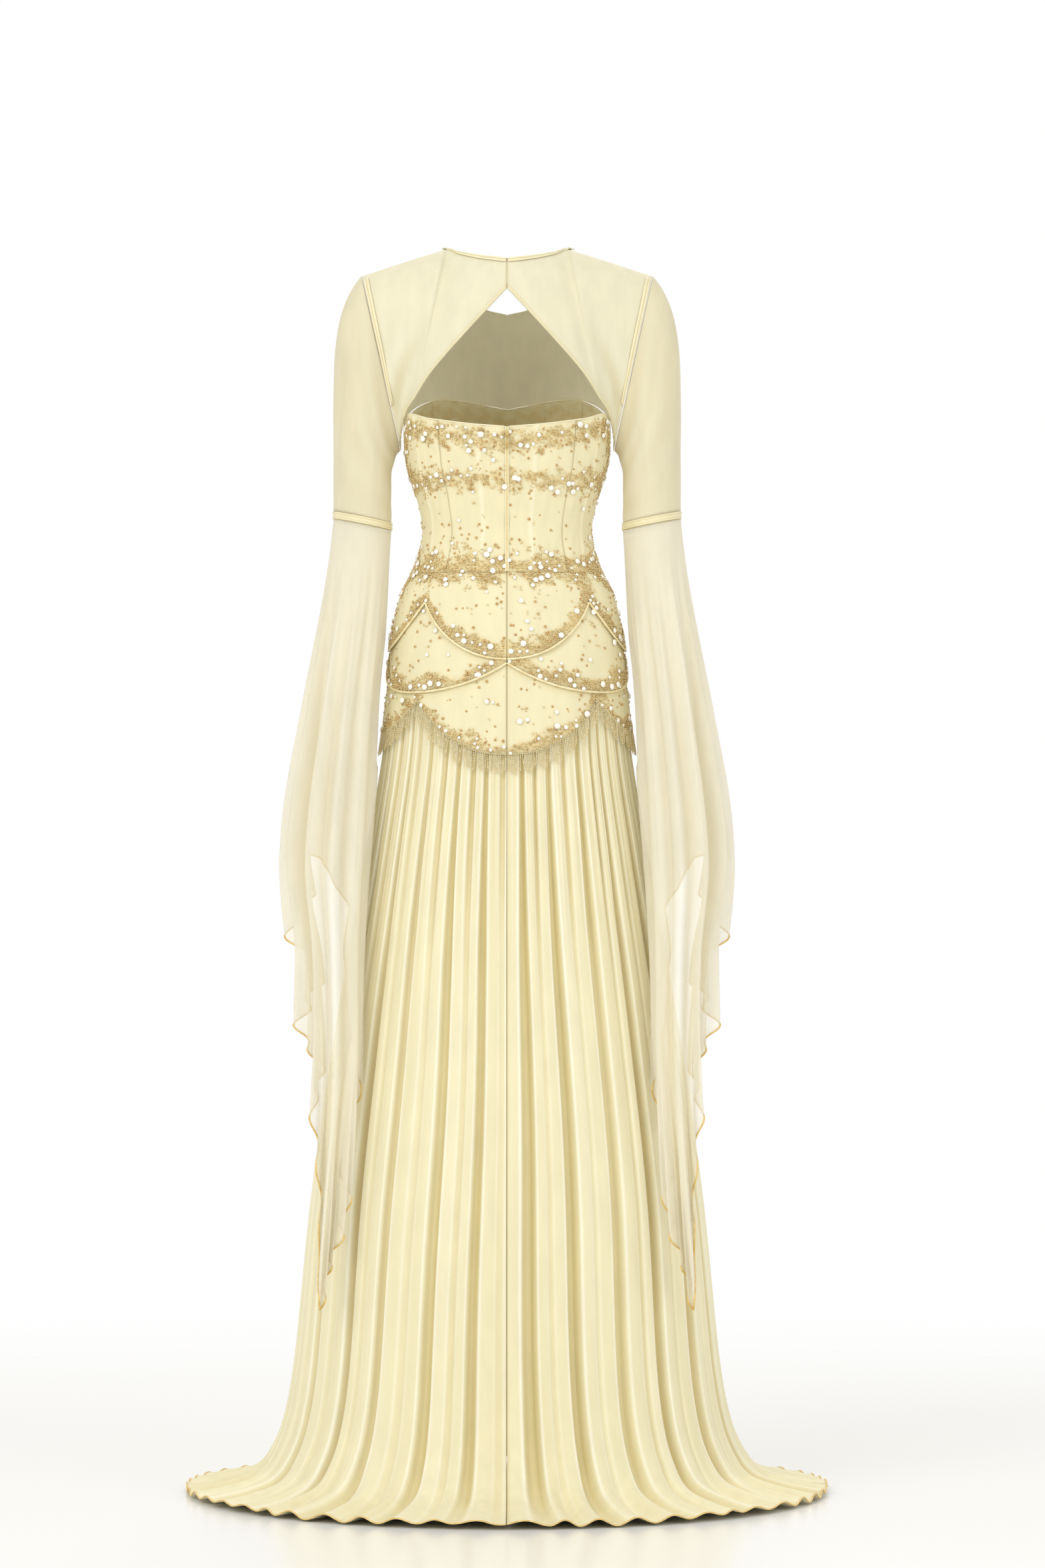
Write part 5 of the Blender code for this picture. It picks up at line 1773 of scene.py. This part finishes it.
@dataclass
class Zip:
    """Closed zip of the centre back: two lips with a groove between them."""

    looks: Finishes
    width: float = 0.0056
    lip: float = 0.0011
    coil: float = 0.0007

    def build(self) -> None:
        """Makes the lips and dresses the slider and its pull tab."""
        def surface(u: Array, v: Array) -> Array:
            height = PATTERN.waist + (PATTERN.bodice_top(np.zeros_like(v)) - PATTERN.waist) * v
            wide = PATTERN.section(height)[..., 0]
            angle = (u - 0.5) * self.width / wide
            stand = SEAM_GAP + self.lip * np.abs(np.sin(TURN * u)) ** 0.6 * (1 - 0.2 * np.cos(2600 * height))
            return PATTERN.on_figure(angle, height, stand)

        def fold(u: Array, v: Array) -> Array:
            # Painted shade in the groove between the lips and along their outer edges.
            groove = np.exp(-(((u - 0.5) / 0.08) ** 2))
            rim = np.exp(-(((np.abs(u - 0.5) - 0.5) / 0.06) ** 2))
            return np.clip(1.0 * groove + 0.7 * rim - 0.1, -1, 1)

        Sheet(
            "zip_lips", 14, 200, surface, self.looks.satin, "satin_binding", ("zip_tape",),
            Held.STRETCHED, upright_axis,
            marks={"fold": fold, "work": lambda u, v: np.zeros_like(u)}, thickness=0.0005,
        ).build()
        share = np.linspace(0.004, 0.93, 160)
        coil = tube(
            "zip_coil", surface(np.full_like(share, 0.5), share) + np.array([0, -self.coil / 2, 0]),
            self.coil, self.looks.thread,
        )
        dress_piece(coil, "gold_piping")
        for node in ("zip_slider", "zip_pull"):
            solid = bpy.data.objects[node]
            solid.material_slots[0].material = self.looks.metal
            LOG.info("%s keeps its solid", node)


# Room and camera

@dataclass
class Room:
    """Plain pale floor, white surround, soft light and the camera."""

    floor_radius: float = 6.0
    camera_at: tuple[float, float, float] = (0.0198, -8.0, -0.649)
    lens: float = 142.4
    sky: float = 0.84

    def build(self) -> None:
        """Makes the floor, the light and the camera."""
        self.build_floor()
        self.build_world()
        self.area("key_light", (-2.6, -4.2, 2.2), (0.0, 0.0, -0.6), 3.2, 95.0)
        self.area("fill_light", (3.4, -4.0, 0.6), (0.0, 0.0, -0.7), 3.4, 38.0)
        self.area("back_light", (0.6, 4.0, 2.4), (0.0, 0.0, -0.5), 3.0, 50.0)
        lens = bpy.data.cameras.new("camera")
        lens.sensor_fit = "VERTICAL"
        lens.sensor_height = 36.0
        lens.lens = self.lens
        lens.clip_end = 60.0
        camera = bpy.data.objects.new("camera", lens)
        camera.location = self.camera_at
        camera.rotation_euler = (QUARTER, 0.0, 0.0)
        bpy.context.scene.collection.objects.link(camera)
        bpy.context.scene.camera = camera
        bpy.context.scene.view_settings.view_transform = "Standard"

    @staticmethod
    def area(name: str, at: tuple, towards: tuple, size: float, power: float) -> None:
        """Adds one soft area light."""
        light = bpy.data.lights.new(name, "AREA")
        light.shape = "DISK"
        light.size = size
        light.energy = power
        made = bpy.data.objects.new(name, light)
        made.location = at
        aim = Vector(towards) - Vector(at)
        made.rotation_euler = aim.to_track_quat("-Z", "Y").to_euler()
        bpy.context.scene.collection.objects.link(made)

    def build_world(self) -> None:
        """White for the camera, a little less for the light that falls."""
        world = bpy.data.worlds.new("studio")
        world.use_nodes = True
        bpy.context.scene.world = world
        nodes, links = world.node_tree.nodes, world.node_tree.links
        soft = nodes["Background"]
        soft.inputs["Strength"].default_value = self.sky
        soft.inputs["Color"].default_value = (1.0, 0.99, 0.97, 1.0)
        seen = nodes.new("ShaderNodeBackground")
        seen.inputs["Strength"].default_value = 1.0
        seen.inputs["Color"].default_value = (1.0, 1.0, 1.0, 1.0)
        path = nodes.new("ShaderNodeLightPath")
        mixed = nodes.new("ShaderNodeMixShader")
        links.new(path.outputs["Is Camera Ray"], mixed.inputs[0])
        links.new(soft.outputs[0], mixed.inputs[1])
        links.new(seen.outputs[0], mixed.inputs[2])
        links.new(mixed.outputs[0], nodes["World Output"].inputs["Surface"])

    def build_floor(self) -> None:
        """A round floor that fades into the white surround."""
        bm = bmesh.new()
        bmesh.ops.create_circle(bm, cap_ends=True, radius=self.floor_radius, segments=96)
        bmesh.ops.translate(bm, verts=bm.verts, vec=(0, 0, -SHOULDER_HEIGHT))
        mesh = bpy.data.meshes.new("floor")
        bm.to_mesh(mesh)
        bm.free()
        made, shader = principled("pale_floor")
        nodes, links = made.node_tree.nodes, made.node_tree.links
        shader.inputs["Base Color"].default_value = (0.93, 0.93, 0.915, 1.0)
        shader.inputs["Roughness"].default_value = 0.22
        shader.inputs["Specular IOR Level"].default_value = 0.35
        place_at = nodes.new("ShaderNodeTexCoord")
        far = nodes.new("ShaderNodeVectorMath")
        far.operation = "LENGTH"
        flat = nodes.new("ShaderNodeMapping")
        flat.inputs["Scale"].default_value = (1.0, 1.0, 0.0)
        links.new(place_at.outputs["Object"], flat.inputs["Vector"])
        links.new(flat.outputs["Vector"], far.inputs[0])
        fade = nodes.new("ShaderNodeMapRange")
        fade.interpolation_type = "SMOOTHSTEP"
        fade.inputs["From Min"].default_value = 0.9
        fade.inputs["From Max"].default_value = 3.0
        fade.inputs["To Min"].default_value = 1.0
        fade.inputs["To Max"].default_value = 0.0
        links.new(far.outputs["Value"], fade.inputs["Value"])
        links.new(fade.outputs["Result"], shader.inputs["Alpha"])
        link("floor", mesh, made)


def main() -> None:
    """Builds the looks in order."""
    logging.basicConfig(level=logging.INFO, format="%(name)s %(message)s")
    looks = Finishes()
    yoke, skirt, beads = Yoke(looks), Skirt(looks), Beads(looks)
    Room().build()
    Bodice(looks).build()
    HipTiers(looks).build()
    beads.build()
    Fringe(looks, beads).build()
    skirt.build()
    yoke.build()
    Sleeves(looks, yoke, skirt).build()
    Zip(looks).build()


if __name__ == "__main__":
    main()
